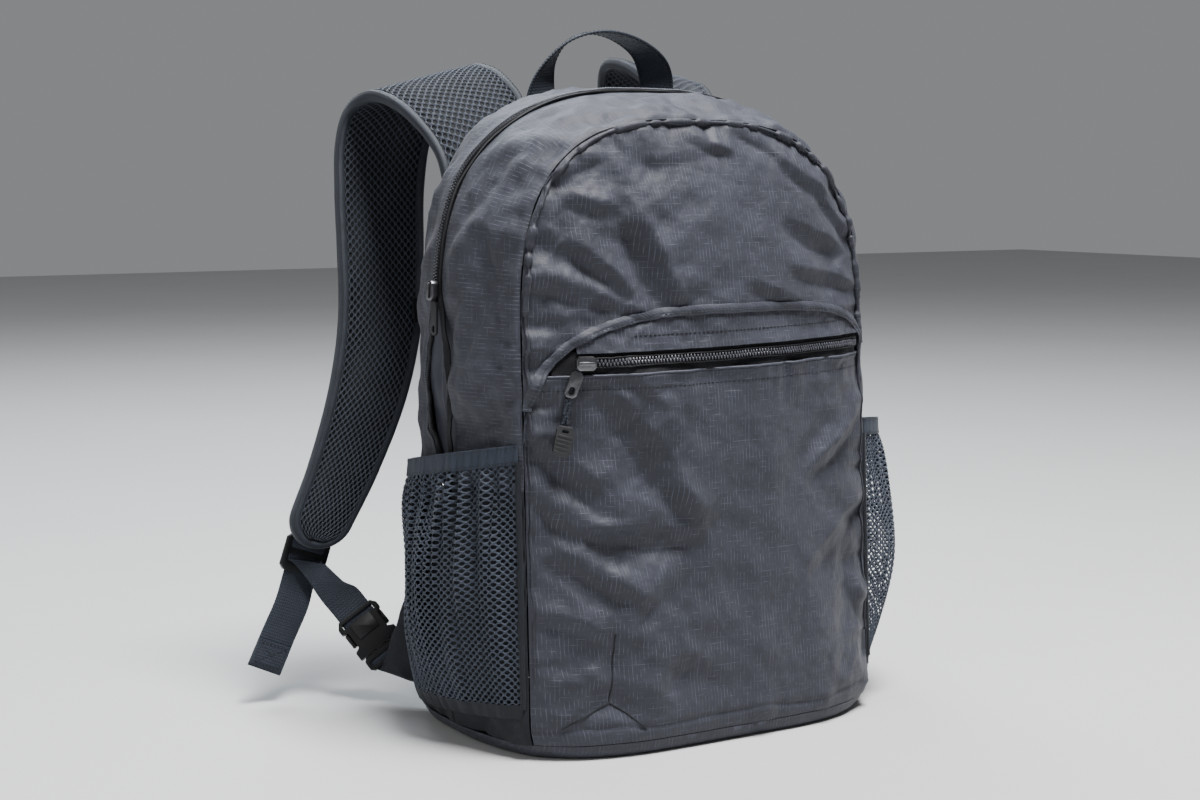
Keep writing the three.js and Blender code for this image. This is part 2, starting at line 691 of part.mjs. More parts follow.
// Shoulder straps: across is a share of the back's half width, out a share of how far the straps stand
// off the back, up a share of the bag's height and wide a share of the strap's width. Each starts flat
// on the back panel, goes over its crest and hangs down to its rounded end.
const strapCrests = {
  left: [
    { across: 0.699, out: 0.003, up: 0.903, side: [0.78, 0, -0.62], wide: 1.14 },
    { across: 0.692, out: 0.075, up: 0.941, side: [0.86, 0.03, -0.52], wide: 1.15 },
    { across: 0.722, out: 0.232, up: 0.979, side: [0.89, 0.08, -0.45], wide: 1.14 },
    { across: 0.759, out: 0.479, up: 1.01, side: [0.93, 0.15, -0.32], wide: 1.17 },
    { across: 0.782, out: 0.77, up: 1.017, side: [0.94, 0.2, -0.24], wide: 1.2 },
    { across: 0.835, out: 0.974, up: 0.986, side: [0.97, 0.14, -0.14], wide: 1.17 },
    { across: 0.887, out: 1.042, up: 0.926, side: [1, 0.06, -0.04], wide: 1.09 },
    { across: 0.925, out: 0.994, up: 0.841, side: [1, 0.02, 0], wide: 1.03 },
    { across: 0.955, out: 0.878, up: 0.736, side: [1, 0, 0], wide: 1 },
  ],
  right: [
    { across: 0.609, out: 0, up: 0.903, side: [0.78, 0, -0.63], wide: 1.06 },
    { across: 0.617, out: 0.075, up: 0.943, side: [0.84, 0.03, -0.54], wide: 1.11 },
    { across: 0.624, out: 0.244, up: 0.988, side: [0.89, -0.03, -0.45], wide: 1.12 },
    { across: 0.632, out: 0.503, up: 1.031, side: [0.94, -0.15, -0.3], wide: 1.15 },
    { across: 0.647, out: 0.745, up: 1.04, side: [0.96, -0.2, -0.2], wide: 1.18 },
    { across: 0.699, out: 0.928, up: 1.005, side: [0.98, -0.14, -0.1], wide: 1.15 },
    { across: 0.774, out: 0.995, up: 0.941, side: [1, -0.05, 0], wide: 1.09 },
    { across: 0.857, out: 0.96, up: 0.846, side: [1, 0, 0], wide: 1.03 },
    { across: 0.932, out: 0.864, up: 0.736, side: [1, 0, 0], wide: 1 },
  ],
};
const strapHang = [
  { across: 0.992, out: 0.778, up: 0.622, side: [1, 0, 0], wide: 0.97 },
  { across: 1.083, out: 0.715, up: 0.504, side: [1, 0, 0.1], wide: 0.91 },
  { across: 1.233, out: 0.69, up: 0.38, side: [0.97, 0, 0.25], wide: 0.79 },
  { across: 1.353, out: 0.674, up: 0.304, side: [0.94, 0, 0.34], wide: 0.71 },
];

function strapRows(side, crest) {
  return [...crest, ...strapHang].map((row) => {
    const z = row.up * bagHeight;
    const base = backPoint(row.across, z).y + padThickness / 2 + seamGap;
    return {
      at: [side * row.across * backHalfWidth, base + row.out * strapReach, z],
      side: [side * row.side[0], row.side[1], row.side[2]],
      width: row.wide * strapWidth,
    };
  });
}

// The grab handle: across is a share of half its span, out of its webbing's width and up of its rise.
const handleShape = [
  { across: -0.978, out: 0.021, up: -0.212, side: [1, 0, 0.1] },
  { across: -0.989, out: 0.116, up: 0.019, side: [1, 0.05, 0.12] },
  { across: -0.978, out: 0.176, up: 0.231, side: [0.95, 0.25, 0.1] },
  { across: -0.848, out: 0.196, up: 0.558, side: [0.75, 0.6, 0.1] },
  { across: -0.522, out: 0.156, up: 0.865, side: [0.4, 0.9, 0] },
  { across: -0.043, out: 0.116, up: 1, side: [0.05, 1, 0] },
  { across: 0.478, out: 0.116, up: 0.923, side: [-0.3, 1, 0] },
  { across: 0.935, out: 0.176, up: 0.673, side: [-0.75, 0.7, 0.1] },
  { across: 1.065, out: 0.196, up: 0.327, side: [-1, 0.3, 0.1] },
  { across: 1.011, out: 0.136, up: 0.019, side: [-1, 0.05, 0.05] },
  { across: 0.957, out: 0.015, up: -0.212, side: [-1, 0, 0.05] },
];
const handleRows = handleShape.map(({ across, out, up, side }) => {
  const x = handleShift + (across * handleSpan) / 2;
  const z = backArchHeight + up * handleRise;
  const base = backPoint(x / backHalfWidth, min(z, backArchHeight)).y + webbingWall / 2 + seamGap;
  return { at: [x, base + out * webbingWidth, z], side, width: webbingWidth };
});

// The end of the left strap's run, as a place along it, across it and off its face. The lock, its tab
// and its webbing hang from there, and the right ones mirror them.
const leftRun = strip(strapRows(-1, strapCrests.left));
const underStrap = (along, across, off) => leftRun.place(leftRun.length + along, across, off);
const tabFace = padThickness / 2 + webbingWall / 2 + 0.4;
const lockMiddle = underStrap(lockDrop, -4, tabFace + 3.8);
const lockAcross = [-0.94, 0, 0.34];
const lockUp = point(0.34, 0.05, 0.94).normalize();
const fromLock = (up, off) => {
  const p = lockMiddle.clone().addScaledVector(lockUp, up);
  return [p.x, p.y + off, p.z];
};

// The corner buckle, fastened: its axis runs from the webbing to the corner wing.
const buckleAxis = [0.42, -0.52, -0.74];
const buckleWidth = [-0.8, 0.17, -0.57];
const plugMiddle = [-backHalfWidth - buckleOut, rearSeamLow + buckleBack, buckleHeight];
const alongBuckle = (length) => plugMiddle.map((value, i) => value + buckleAxis[i] * length);

// Webbing from the strap's lock down to the corner buckle, the loose tail under the lock, and the
// short tab that holds the lock to the strap.
const lowerTop = fromLock(-3, -6.4);
const lowerMiddle = lowerTop.map((value, i) => mix(value, alongBuckle(-46)[i], 0.45));
const lowerWebbing = [
  { at: lowerTop, side: [-0.92, 0.3, 0.2], width: webbingWidth },
  { at: lowerMiddle, side: [-0.9, 0.3, 0.1], width: webbingWidth },
  { at: alongBuckle(-46), side: buckleWidth, width: webbingWidth },
  { at: alongBuckle(-36.8), side: buckleWidth, width: webbingWidth },
];
const tailShape = [
  { across: 0, out: 0, up: 0, side: [-0.94, 0, 0.34] },
  { across: -0.11, out: -0.04, up: -0.28, side: [-0.94, 0.1, 0.36] },
  { across: -0.27, out: -0.055, up: -0.59, side: [-0.92, 0.1, 0.4] },
  { across: -0.43, out: -0.08, up: -0.9, side: [-0.91, 0.1, 0.42] },
];
const tailTop = fromLock(-lockHeight / 2 - 0.4, 0);
const tailWebbing = tailShape.map(({ across, out, up, side }) => ({
  at: tailTop.map((value, i) => value + [across, out, up][i] * tailLength),
  side,
  width: webbingWidth,
}));
const lockTab = [
  underStrap(-10.8, 1, tabFace),
  underStrap(4, -1, tabFace + 1.6),
  lockMiddle.clone().addScaledVector(lockUp, lockHeight / 2 + 0.5),
].map((p) => ({ at: p.toArray(), side: lockAcross, width: webbingWidth }));

// Ladder lock: a frame with two slots, behind the end of the strap.
function ladderLock() {
  const opening = lockWidth - 6.5;
  const holes = [slot(opening, 5, 0, 6.5), slot(opening, 5, 0, -3.5)];
  const frame = plate(block(lockWidth, lockHeight, 3), holes, 4);
  return placed(frame, lockMiddle.toArray(), lockAcross, lockUp.toArray());
}

// The buckle's socket, with a notch on each side, and the plug that fills it.
function buckleSocket() {
  const [w, low, high] = [16.5, -15, 15];
  const outline = [
    [-w + 3, low], [w - 3, low], [w, low + 4], [w, -7], [w - 4, -5], [w - 4, 7], [w, 9], [w, high],
    [-w, high], [-w, 9], [-w + 4, 7], [-w + 4, -5], [-w, -7], [-w, low + 4],
  ];
  const body = plate(outline, [slot(26, 4, 0, low + 4.5)], 9);
  return placed(body, alongBuckle(-21), buckleWidth, buckleAxis);
}
function bucklePlug() {
  return placed(plate(block(31, 11, 2.5), [slot(26, 4, 0, 1)], 6), plugMiddle, buckleWidth, buckleAxis);
}

// Cloth wing that joins the corner of the bag to its buckle.
const wingTip = alongBuckle(8.6);
function cornerWing() {
  const tip = [-1, 1].map((end) => point(...wingTip).addScaledVector(point(...buckleWidth), -12 * end));
  const at = (u, v) => {
    const root = backPoint(-0.95, mix(12, 112, v));
    root.y += seamGap + 0.2;
    const p = root.lerp(tip[0].clone().lerp(tip[1], v), u);
    p.x -= 5 * sin(PI * u) * sin(PI * v);
    return p;
  };
  return shell({ at, across: 5, along: 6, wall: 2, lift: 0 });
}

// Where the chest strap meets a shoulder strap: a place on the shoulder strap's inner edge, with the
// direction into the strap and the direction off its face.
function keeperPlace(rows) {
  const run = strip(rows);
  let l = run.length;
  while (run.place(l, 0, 0).z < sternumHeight) l -= 0.5;
  const edge = run.place(l, -run.widthAt(l) / 2, 0);
  const middle = run.place(l, 0, 0);
  return { edge, inward: middle.clone().sub(edge).normalize(), off: run.place(l, 0, 1).sub(middle) };
}
const keeperWall = 2.4;
const keeperRoom = 1.9; // between the strap's edge and the keeper's back

// A keeper that grips the inner edge of a shoulder strap and holds the chest strap.
function keeper(rows) {
  const { edge, inward, off } = keeperPlace(rows);
  const [deep, half, back] = [10, padThickness / 2 + 1.2, keeperWall + keeperRoom];
  const outline = [
    [-back, -half - keeperWall], [deep, -half - keeperWall], [deep, -half], [-keeperRoom, -half],
    [-keeperRoom, half], [deep, half], [deep, half + keeperWall], [-back, half + keeperWall],
  ];
  return placed(plate(outline, [], sternumWidth - 2), edge.toArray(), inward.toArray(), off.toArray());
}

function sternumRows() {
  const ends = [strapRows(-1, strapCrests.left), strapRows(1, strapCrests.right)].map((rows) => {
    const { edge, inward } = keeperPlace(rows);
    return edge.addScaledVector(inward, -keeperWall - keeperRoom - 0.5);
  });
  const middle = ends[0].clone().lerp(ends[1], 0.5);
  middle.y -= sternumSag;
  middle.z -= sternumSag;
  const places = [ends[0], middle, ends[1]];
  return places.map((p) => ({ at: p.toArray(), side: [0, 0, 1], width: sternumWidth }));
}

// Zip sliders and their pulls

// Moves a part from local axes, x to the right, y up and z outward, onto a place of a surface.
function onSurface(geometry, at, u, v, lift, turn = 0) {
  const step = 1e-3;
  const middle = at(u, v);
  const right = at(u + step, v).sub(at(u - step, v)).normalize();
  const up = at(u, v + step).sub(at(u, v - step)).normalize();
  const out = right.clone().cross(up).normalize();
  const matrix = new THREE.Matrix4().makeBasis(right, out.clone().cross(right), out);
  matrix.setPosition(middle.addScaledVector(out, lift));
  matrix.multiply(new THREE.Matrix4().makeRotationZ(THREE.MathUtils.degToRad(turn)));
  return geometry.clone().applyMatrix4(matrix);
}
const onFront = (x, z) => frontPoint(x / (frontHalfWidth * (1 - (sideTaper * z) / frontArchHeight)), z);
const leftSide = (v, z) => gussetPoint({ side: -1, c: 1, q: 0, z }, 1 - v);
const leftArch = (v, t) => gussetPoint(stationAt(t), 1 - v);

const tabTurn = -22; // how far the tab, and the cord and grip under it, lie turned
const cordTurn = -10;

const sliderHeight = 9;
const tabLength = 17;
const cordLength = 15.5;
const gripLength = 19;
const sliderBody = () => plate(block(13, sliderHeight, 2), [], 4.6);
const sliderTab = () => plate(block(8, tabLength, 2), [block(3.6, 5, 1, 0, -4).reverse()], 1.6);
const pullGrip = () => plate(block(11, gripLength, 2), [slot(4, 2, 0, 6.5)], 4);
const pullCord = () => plate(block(3, cordLength, 0.8), [], 2);
const mainPull = () => plate(block(6, 22, 1.5), [slot(2.6, 4, 0, -7)], 1.8);

// The pocket's slider stands at the zip's left end, and the rest hangs from it in a chain. Each place
// is one on the front, across and up.
const sliderAcross = pocketZipLeft * frontHalfWidth + 3.2;
const sliderPlace = [sliderAcross, pocketZip(sliderAcross / frontHalfWidth)];
function below([x, z], drop, turn) {
  const angle = THREE.MathUtils.degToRad(turn);
  return [x + drop * sin(angle), z - drop * cos(angle)];
}
const tabPlace = below(sliderPlace, (sliderHeight + tabLength) / 2 + 1.8, -30);
const cordPlace = below(tabPlace, (tabLength + cordLength) / 2 + 1.2, -15);
const gripPlace = below(cordPlace, (cordLength + gripLength) / 2 + 0.5, -8);

// The looks and the tree of parts

const looks = {
  cloth: new THREE.MeshStandardMaterial({ color: 0x57565c, roughness: 0.5 }),
  mesh: new THREE.MeshStandardMaterial({ color: 0x343a45, roughness: 0.8 }),
  webbing: new THREE.MeshStandardMaterial({ color: 0x3a404c, roughness: 0.7 }),
  plastic: new THREE.MeshStandardMaterial({ color: 0x1c1d20, roughness: 0.4 }),
  metal: new THREE.MeshStandardMaterial({ color: 0x77787a, roughness: 0.35, metalness: 1 }),
};

// A group of parts, each entry a name, a geometry and a look.
function section(entries) {
  const group = new THREE.Group();
  for (const [name, geometry, look] of entries) {
    const mesh = new THREE.Mesh(geometry, looks[look]);
    mesh.name = name;
    group.add(mesh);
  }
  return group;
}

const body = section([
  ["base_tray", baseTray(), "cloth"],
  ["front_panel", frontPanel(), "cloth"],
  ["gusset_front", gussetFront(), "cloth"],
  ["gusset_rear", gussetRear(), "cloth"],
  ["back_panel", backPanel(), "cloth"],
  ["grab_handle", webbing(handleRows, 24), "webbing"],
]);

const frontPocket = section([
  ["pocket_panel", pocketPanel(), "cloth"],
  ["pocket_header", pocketHeader(), "cloth"],
  ["pocket_binding", pocketBinding(), "webbing"],
  ["pocket_zip_tape", pocketZipTape(), "webbing"],
  ["pocket_zip_coil", pocketZipCoil(), "plastic"],
  ["pocket_zip_slider", onSurface(sliderBody(), onFront, ...sliderPlace, 4.5), "metal"],
  ["pocket_zip_tab", onSurface(sliderTab(), onFront, ...tabPlace, 2.8, tabTurn), "metal"],
  ["pocket_pull_cord", onSurface(pullCord(), onFront, ...cordPlace, 2.2, cordTurn), "webbing"],
  ["pocket_pull_grip", onSurface(pullGrip(), onFront, ...gripPlace, 3.3, cordTurn), "webbing"],
]);

const turnedSlider = () => sliderBody().rotateZ(PI / 2);
const closedV = 1 - mainZipV(stationAt(mainZipClosedFrom));
const footV = 1 - mainZipV(stationAt(mainZipStart)) + 0.005;
const pullT = arcShare(mainZipOpenTo - 16.3, -1);
const pullV = 1 - mainZipV(stationAt(pullT));
const mainZip = section([
  ["main_zip_tape_front", mainZipTape(-1), "webbing"],
  ["main_zip_tape_rear", mainZipTape(1), "webbing"],
  ["main_zip_coil", mainZipCoil(mainZipClosedFrom, mainZipEnd), "plastic"],
  ["main_zip_slider_upper", onSurface(turnedSlider(), leftArch, closedV, mainZipClosedFrom, 4.4), "metal"],
  ["main_zip_pull_upper", onSurface(mainPull(), leftArch, pullV, pullT, 3), "webbing"],
  ["main_zip_slider_lower", onSurface(turnedSlider(), leftSide, footV, mainZipFoot - 5, 3.2), "metal"],
]);

const rim = bandHeight + seamGap;
const sides = [-1, 1].map((side) => {
  const name = side < 0 ? "left" : "right";
  const flip = side < 0 ? (geometry) => geometry : mirrored;
  const rows = strapRows(side, strapCrests[name]);
  return section([
    [`side_pocket_mesh_${name}`, sidePocketStrip(side, 0, rim, 7), "mesh"],
    [`side_pocket_band_${name}`, sidePocketStrip(side, bandHeight, 0, 1), "webbing"],
    [`shoulder_strap_${name}`, padCore(rows), "mesh"],
    [`strap_trim_${name}`, padTrim(rows), "webbing"],
    [`sternum_keeper_${name}`, keeper(rows), "plastic"],
    [`lock_tab_${name}`, flip(webbing(lockTab, 2)), "webbing"],
    [`ladder_lock_${name}`, flip(ladderLock()), "plastic"],
    [`adjuster_tail_${name}`, flip(webbing(tailWebbing, 6)), "webbing"],
    [`adjuster_webbing_${name}`, flip(webbing(lowerWebbing, 8)), "webbing"],
    [`buckle_socket_${name}`, flip(buckleSocket()), "plastic"],
    [`buckle_plug_${name}`, flip(bucklePlug()), "plastic"],
    [`corner_wing_${name}`, flip(cornerWing()), "cloth"],
  ]);
});

const chestRows = sternumRows();
const claspPlace = [0, chestRows[1].at[1] + 6.2, chestRows[1].at[2]];
const sternum = section([
  ["sternum_strap", webbing(chestRows, 10), "webbing"],
  ["sternum_clasp", placed(plate(block(34, 24, 3), [], 9), claspPlace, [1, 0, 0], [0, 0, 1]), "plastic"],
]);

const backpack = new THREE.Group();
backpack.add(body, frontPocket, mainZip, ...sides, sternum);
export default backpack;
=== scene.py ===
import math

import bmesh
import bpy
import numpy as np
from mathutils import Matrix, Vector


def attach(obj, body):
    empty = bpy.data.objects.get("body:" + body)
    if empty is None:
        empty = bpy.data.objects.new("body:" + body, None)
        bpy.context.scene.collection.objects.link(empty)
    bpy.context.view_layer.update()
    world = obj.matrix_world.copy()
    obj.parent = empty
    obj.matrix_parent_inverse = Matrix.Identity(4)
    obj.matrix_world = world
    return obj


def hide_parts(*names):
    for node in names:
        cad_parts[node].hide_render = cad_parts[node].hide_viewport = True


# A packable daypack in crinkled ripstop, standing on its base. All sizes here are in millimetres, in the
# frame's own axes: +Z up, the front faces -Y. Meshes are made in metres.
MM = 0.001

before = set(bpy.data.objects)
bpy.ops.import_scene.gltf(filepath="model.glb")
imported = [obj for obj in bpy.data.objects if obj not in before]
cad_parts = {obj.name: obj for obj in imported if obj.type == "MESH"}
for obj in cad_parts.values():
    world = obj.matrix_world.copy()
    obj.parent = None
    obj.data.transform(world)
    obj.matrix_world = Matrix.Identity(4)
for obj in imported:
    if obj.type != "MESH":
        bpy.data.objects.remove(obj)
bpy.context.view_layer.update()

# Sizes of the bag's surfaces
BAG_HEIGHT = 421
FRONT_TOP = 400
BACK_TOP = 411
FRONT_HALF = 134
BACK_HALF = 133
SHOULDER = 262
ARCH_POWER = 2.9
SIDE_TAPER = 0.03
GUSSET_BELLY = 19
FRONT_SEAM = (-64, -57)
REAR_SEAM = (84, 64)
FRONT_BELLY = 25
POCKET_BELLY = 30
BACK_BELLY = 7
FOOT_HEIGHT = 26
FOOT_INSET = 0.05
TOP_LEAN = -9
BELLY_CREST = 0.58
BASE_TOP = 9.5
WALL_FOOT = 10
SHADED_GUSSET_TOP = 172  # the gusset is painted darker up to here, as painted shade behind the side pockets' nets
CLOTH = 1.5  # wall of the cloth
SEAM = 0.3  # gap between two pieces that are sewn together
ARCH_STEPS = 200  # up a side of the arch, and as many from there to its top

# Front pocket
POCKET_TOP = 281
POCKET_ARCH = {"left": (203, 2.6), "right": (230, 4)}
POCKET_ZIP = 251.5
POCKET_ZIP_RISE = 0.016
POCKET_ZIP_ENDS = (-0.74, 0.93)
ZIP_BELOW = 8
ZIP_ABOVE = 7.5
BINDING = 5

# Main zip: where its line runs, as shares of the gusset's depth, and the stretch that stands open
ZIP_SIDE = 0.6
ZIP_TOP = 0.5
ZIP_LOW = 0.5
ZIP_FOOT = 168
ZIP_OPEN_TO = 290
ZIP_GAPE = 28
ZIP_GAPE_FRONT = 0.36
TAPE = 5.5

# Side pockets: rim and foot at the front and rear seams, then bulge, its crest and its share at the rim
POCKET_RIM = (200, 176)
POCKET_FOOT = (27, 13)
BAND = 12
POCKET_LIFT = 0.6  # net clear of the gusset along its seams
SIDE_POCKETS = {-1: (23, 0.56, 0.5), 1: (47, 0.36, 0.46)}

# Straps and webbing
WEBBING = 25
WEBBING_WALL = 1.6
PAD = 9
TRIM = 7
UNDER_TRIM = 1.4  # how far a pad reaches under its bound edge
STRAP_WIDTH = 66
STRAP_REACH = 100
CHEST_HEIGHT = 268
CHEST_WIDTH = 20
CHEST_SAG = 6
HANDLE_SPAN = 92
HANDLE_SHIFT = -4
HANDLE_RISE = 52
TAIL = 70
LOCK_HEIGHT = 26
LOCK_DROP = 29.8  # the lock's middle under the end of the strap's run
BUCKLE_PLACE = (14.4, 34.6, 33.7)  # out from the rear seam at the foot, behind it and up


# Numbers

def mix(a, b, t):
    return a + (b - a) * t


def smooth(x, low, high):
    t = np.clip((x - low) / (high - low), 0, 1)
    return t * t * (3 - 2 * t)


noise_table = np.random.default_rng(11).random((256, 256))


def noise(x, y, seed=0):
    """Smooth noise from 0 to 1 over a plane."""
    x, y = np.broadcast_arrays(np.asarray(x, float) + 17.3 * seed, np.asarray(y, float) + 9.1 * seed)
    i, j = np.floor(x).astype(int), np.floor(y).astype(int)
    fx, fy = x - i, y - j
    fx, fy = fx ** 3 * (fx * (6 * fx - 15) + 10), fy ** 3 * (fy * (6 * fy - 15) + 10)
    at = lambda a, b: noise_table[(i + a) % 256, (j + b) % 256]
    return mix(mix(at(0, 0), at(1, 0), fx), mix(at(0, 1), at(1, 1), fx), fy)


def crumple(x, y, seed, size, waves=7):
    """Facets with sharp edges, as thin stiff cloth takes: about -1 to 1."""
    pick = np.random.default_rng(seed)
    total = np.zeros(np.broadcast(x, y).shape)
    for k in range(waves):
        angle = pick.uniform(0, math.pi)
        length = size * pick.uniform(0.7, 1.6)
        bend = 0.9 * noise(x / (2.1 * size), y / (2.1 * size), seed + k)
        run = (x * math.cos(angle) + y * math.sin(angle)) / length + pick.uniform(0, 9) + bend
        strength = smooth(noise(x / (1.4 * size), y / (1.4 * size), seed + 31 + k), 0.3, 0.75)
        total += (np.abs(2 * (run - np.floor(run)) - 1) * 2 - 1) * strength
    return total / math.sqrt(waves)


def puckers(along, away, seed, depth, pitch, reach):
    """Short folds that run off a seam: along it and away from it."""
    wave = noise(along / pitch, away / (5 * pitch), seed) - 0.5
    fine = noise(along / (0.45 * pitch), away / (3 * pitch), seed + 5) - 0.5
    strong = 0.35 + 1.3 * noise(along / (6 * pitch), 0 * away, seed + 9)
    return depth * strong * (2 * wave + 0.8 * fine) * np.exp(-away / reach)


def folds(rows, x, z):
    """Crisp folds, each proud on its upper side and sunk on its lower one, with a flat facet between."""
    total = np.zeros(np.broadcast(x, z).shape)
    wander = 5 * (noise(x / 26, z / 26, 77) - 0.5)
    for x0, z0, x1, z1, width, height in rows:
        length = math.hypot(x1 - x0, z1 - z0)
        dx, dz = (x1 - x0) / length, (z1 - z0) / length
        place = ((x - x0) * dx + (z - z0) * dz) / length
        off = ((z - z0) * dx - (x - x0) * dz + wander) * (1 if dx > 0 else -1)
        taper = np.clip(4 * (place + 0.12) * (1.12 - place) / 1.54, 0, 1) ** 0.7
        reach = np.maximum(0, np.abs(off) - width) / (2.1 * width)
        total += height * taper * np.clip(off / (width * (0.35 + 0.65 * taper)), -1, 1) * np.exp(-reach)
    return total


# The bag's surfaces

def settle(x, y, z):
    share = np.maximum(0, 1 - z / FOOT_HEIGHT)
    scale = 1 - FOOT_INSET * share ** 2
    return np.stack(np.broadcast_arrays(x * scale + TOP_LEAN * z / BAG_HEIGHT, y * scale, z), -1)


def seam_y(ends, z, top):
    return mix(ends[0], ends[1], z / top)


def dents(rows, across, up, unit, swell):
    depth = 0
    for place, height, reach, spread, turn, share in rows:
        turn = math.radians(turn)
        dx, dz = across - place * unit, up - height * FRONT_TOP
        along = (dx * math.cos(turn) + dz * math.sin(turn)) / (reach * unit)
        off = (dz * math.cos(turn) - dx * math.sin(turn)) / (spread * unit)
        depth = depth + share * swell * np.exp(-(along ** 2) - off ** 2)
    return depth


# Broad dents. A row: across, up, reach, spread, turn and depth.
FRONT_DENTS = [
    (-0.4, 0.77, 0.22, 0.08, -60, 0.18), (-0.77, 0.785, 0.18, 0.07, -24, 0.14),
    (0.61, 0.818, 0.19, 0.075, -30, 0.14), (0.72, 0.75, 0.13, 0.07, -35, 0.12),
    (-0.4, 0.495, 0.27, 0.09, -55, 0.24), (-0.72, 0.44, 0.18, 0.09, -50, 0.18),
    (-0.41, 0.352, 0.25, 0.075, 3, 0.2), (-0.45, 0.29, 0.19, 0.075, 0, -0.1),
    (-0.64, 0.145, 0.18, 0.052, 90, 0.12), (-0.78, 0.072, 0.12, 0.045, 33, 0.1),
    (-0.57, 0.07, 0.1, 0.045, -40, 0.1), (0.58, 0.482, 0.22, 0.067, 42, 0.16),
    (0.79, 0.21, 0.22, 0.075, 82, 0.12),
]
GUSSET_DENTS = {
    -1: [(0.18, 0.75, 0.24, 0.086, 62, 0.21), (0.48, 0.645, 0.21, 0.086, 76, 0.18),
         (0.2, 0.58, 0.16, 0.071, 40, 0.16)],
    1: [(0.27, 0.74, 0.24, 0.086, 108, 0.21), (0.56, 0.6, 0.21, 0.086, 80, 0.18)],
}


def arch_place(half, top, st):
    height = np.where(st["q"] > 0, SHOULDER + st["q"] * (top - SHOULDER), st["z"])
    return st["side"] * st["c"] * half * (1 - SIDE_TAPER * height / top), height


def station_table():
    rows = [(1, 0, mix(WALL_FOOT, SHOULDER, i / ARCH_STEPS)) for i in range(ARCH_STEPS + 1)]
    for i in range(1, ARCH_STEPS + 1):
        angle = math.pi / 2 * i / ARCH_STEPS
        rows.append((max(0, math.cos(angle)) ** (2 / ARCH_POWER), math.sin(angle) ** (2 / ARCH_POWER), 0))
    c, q, z = (np.array(column, float) for column in zip(*rows))
    c[-1] = 0
    st = {"side": 1, "c": c, "q": q, "z": z}
    x, height = arch_place(FRONT_HALF, FRONT_TOP, st)
    run = np.concatenate([[0], np.cumsum(np.hypot(np.diff(x), np.diff(height)))])
    return run, c, q, np.where(z > 0, z, SHOULDER)


arch_run, arch_c, arch_q, arch_z = station_table()
ARCH_LENGTH = arch_run[-1]
SHOULDER_RUN = arch_run[ARCH_STEPS]


def station(t):
    """The place a share t along the arch, from the left foot over the top to the right foot."""
    run = ARCH_LENGTH * (1 - np.abs(2 * t - 1))
    pick = lambda column: np.interp(run, arch_run, column)
    return {"side": np.where(t < 0.5, -1, 1), "c": pick(arch_c), "q": pick(arch_q), "z": pick(arch_z)}


def stations(start, end, count):
    """Places evenly spaced along the arch, as a column."""
    st = station(np.linspace(start, end, count))
    return {key: value[:, None] for key, value in st.items()}


def run_from_foot(q, c, z, left):
    """How far a place lies along the arch from its left foot."""
    angle = np.arctan2(q ** (ARCH_POWER / 2), np.abs(c) ** (ARCH_POWER / 2))
    place = angle / (math.pi / 2) * ARCH_STEPS + ARCH_STEPS
    over = np.interp(place, np.arange(len(arch_run)), arch_run)
    run = np.where(q > 0, over, np.interp(z, [0, SHOULDER], [0, SHOULDER_RUN]))
    return np.where(left, run, 2 * ARCH_LENGTH - run)


def side_station(side, z):
    one = np.ones_like(z)
    return {"side": side * one, "c": one, "q": 0 * one, "z": z}


def level_of(st):
    return arch_place(FRONT_HALF, FRONT_TOP, st)[1]


def depth_of(st):
    level = level_of(st)
    return seam_y(REAR_SEAM, level, BACK_TOP) - seam_y(FRONT_SEAM, level, FRONT_TOP)


def gusset(st, v):
    """A point of the gusset: v from the front seam, 0, to the rear seam, 1."""
    front_x, front_z = arch_place(FRONT_HALF, FRONT_TOP, st)
    rear_x, rear_z = arch_place(BACK_HALF, BACK_TOP, st)
    rise = st["q"] ** (ARCH_POWER - 1) / (FRONT_TOP - SHOULDER)
    outward = st["side"] * st["c"] ** (ARCH_POWER - 1) / FRONT_HALF
    length = np.hypot(rise, outward)
    place = np.abs(2 * np.clip(v, 0, 1) ** (math.log(0.5) / math.log(BELLY_CREST)) - 1)
    swell = (1 - np.minimum(1, place) ** 2.5) ** 0.6
    rear_y, front_y = seam_y(REAR_SEAM, rear_z, BACK_TOP), seam_y(FRONT_SEAM, front_z, FRONT_TOP)
    unit = seam_y(REAR_SEAM, front_z, BACK_TOP) - front_y
    level = mix(front_z, rear_z, v)
    left = dents(GUSSET_DENTS[-1], v * unit, level, unit, GUSSET_BELLY)
    right = dents(GUSSET_DENTS[1], v * unit, level, unit, GUSSET_BELLY)
    dent = np.where(st["side"] < 0, left, right) * swell
    crown = BAG_HEIGHT - mix(FRONT_TOP, BACK_TOP, BELLY_CREST)
    belly = mix(GUSSET_BELLY, crown, st["q"] ** 3) * swell - dent
    x = mix(front_x, rear_x, v) + belly * outward / length
    return settle(x, mix(front_y, rear_y, v), level + belly * rise / length)


def edge_share(a, z, top):
    q = np.maximum(0, (z - SHOULDER) / (top - SHOULDER))
    return np.minimum(1, (np.abs(a) ** ARCH_POWER + q ** ARCH_POWER) ** (1 / ARCH_POWER))


def front_half(z):
    return FRONT_HALF * (1 - SIDE_TAPER * z / FRONT_TOP)


def front(a, z):
    """A point of the front: a from -1 at the left seam to 1."""
    edge = edge_share(a, z, FRONT_TOP)
    full = mix(POCKET_BELLY, FRONT_BELLY, smooth(z, 200, POCKET_TOP + 20))
    rise = 1 - edge ** mix(4.5, 2.4, smooth(z, 0, 150))
    x = a * front_half(z)
    dent = dents(FRONT_DENTS, x, z, FRONT_HALF, FRONT_BELLY) * np.minimum(1, 3 * rise)
    return settle(x, seam_y(FRONT_SEAM, z, FRONT_TOP) - full * rise + dent, z)


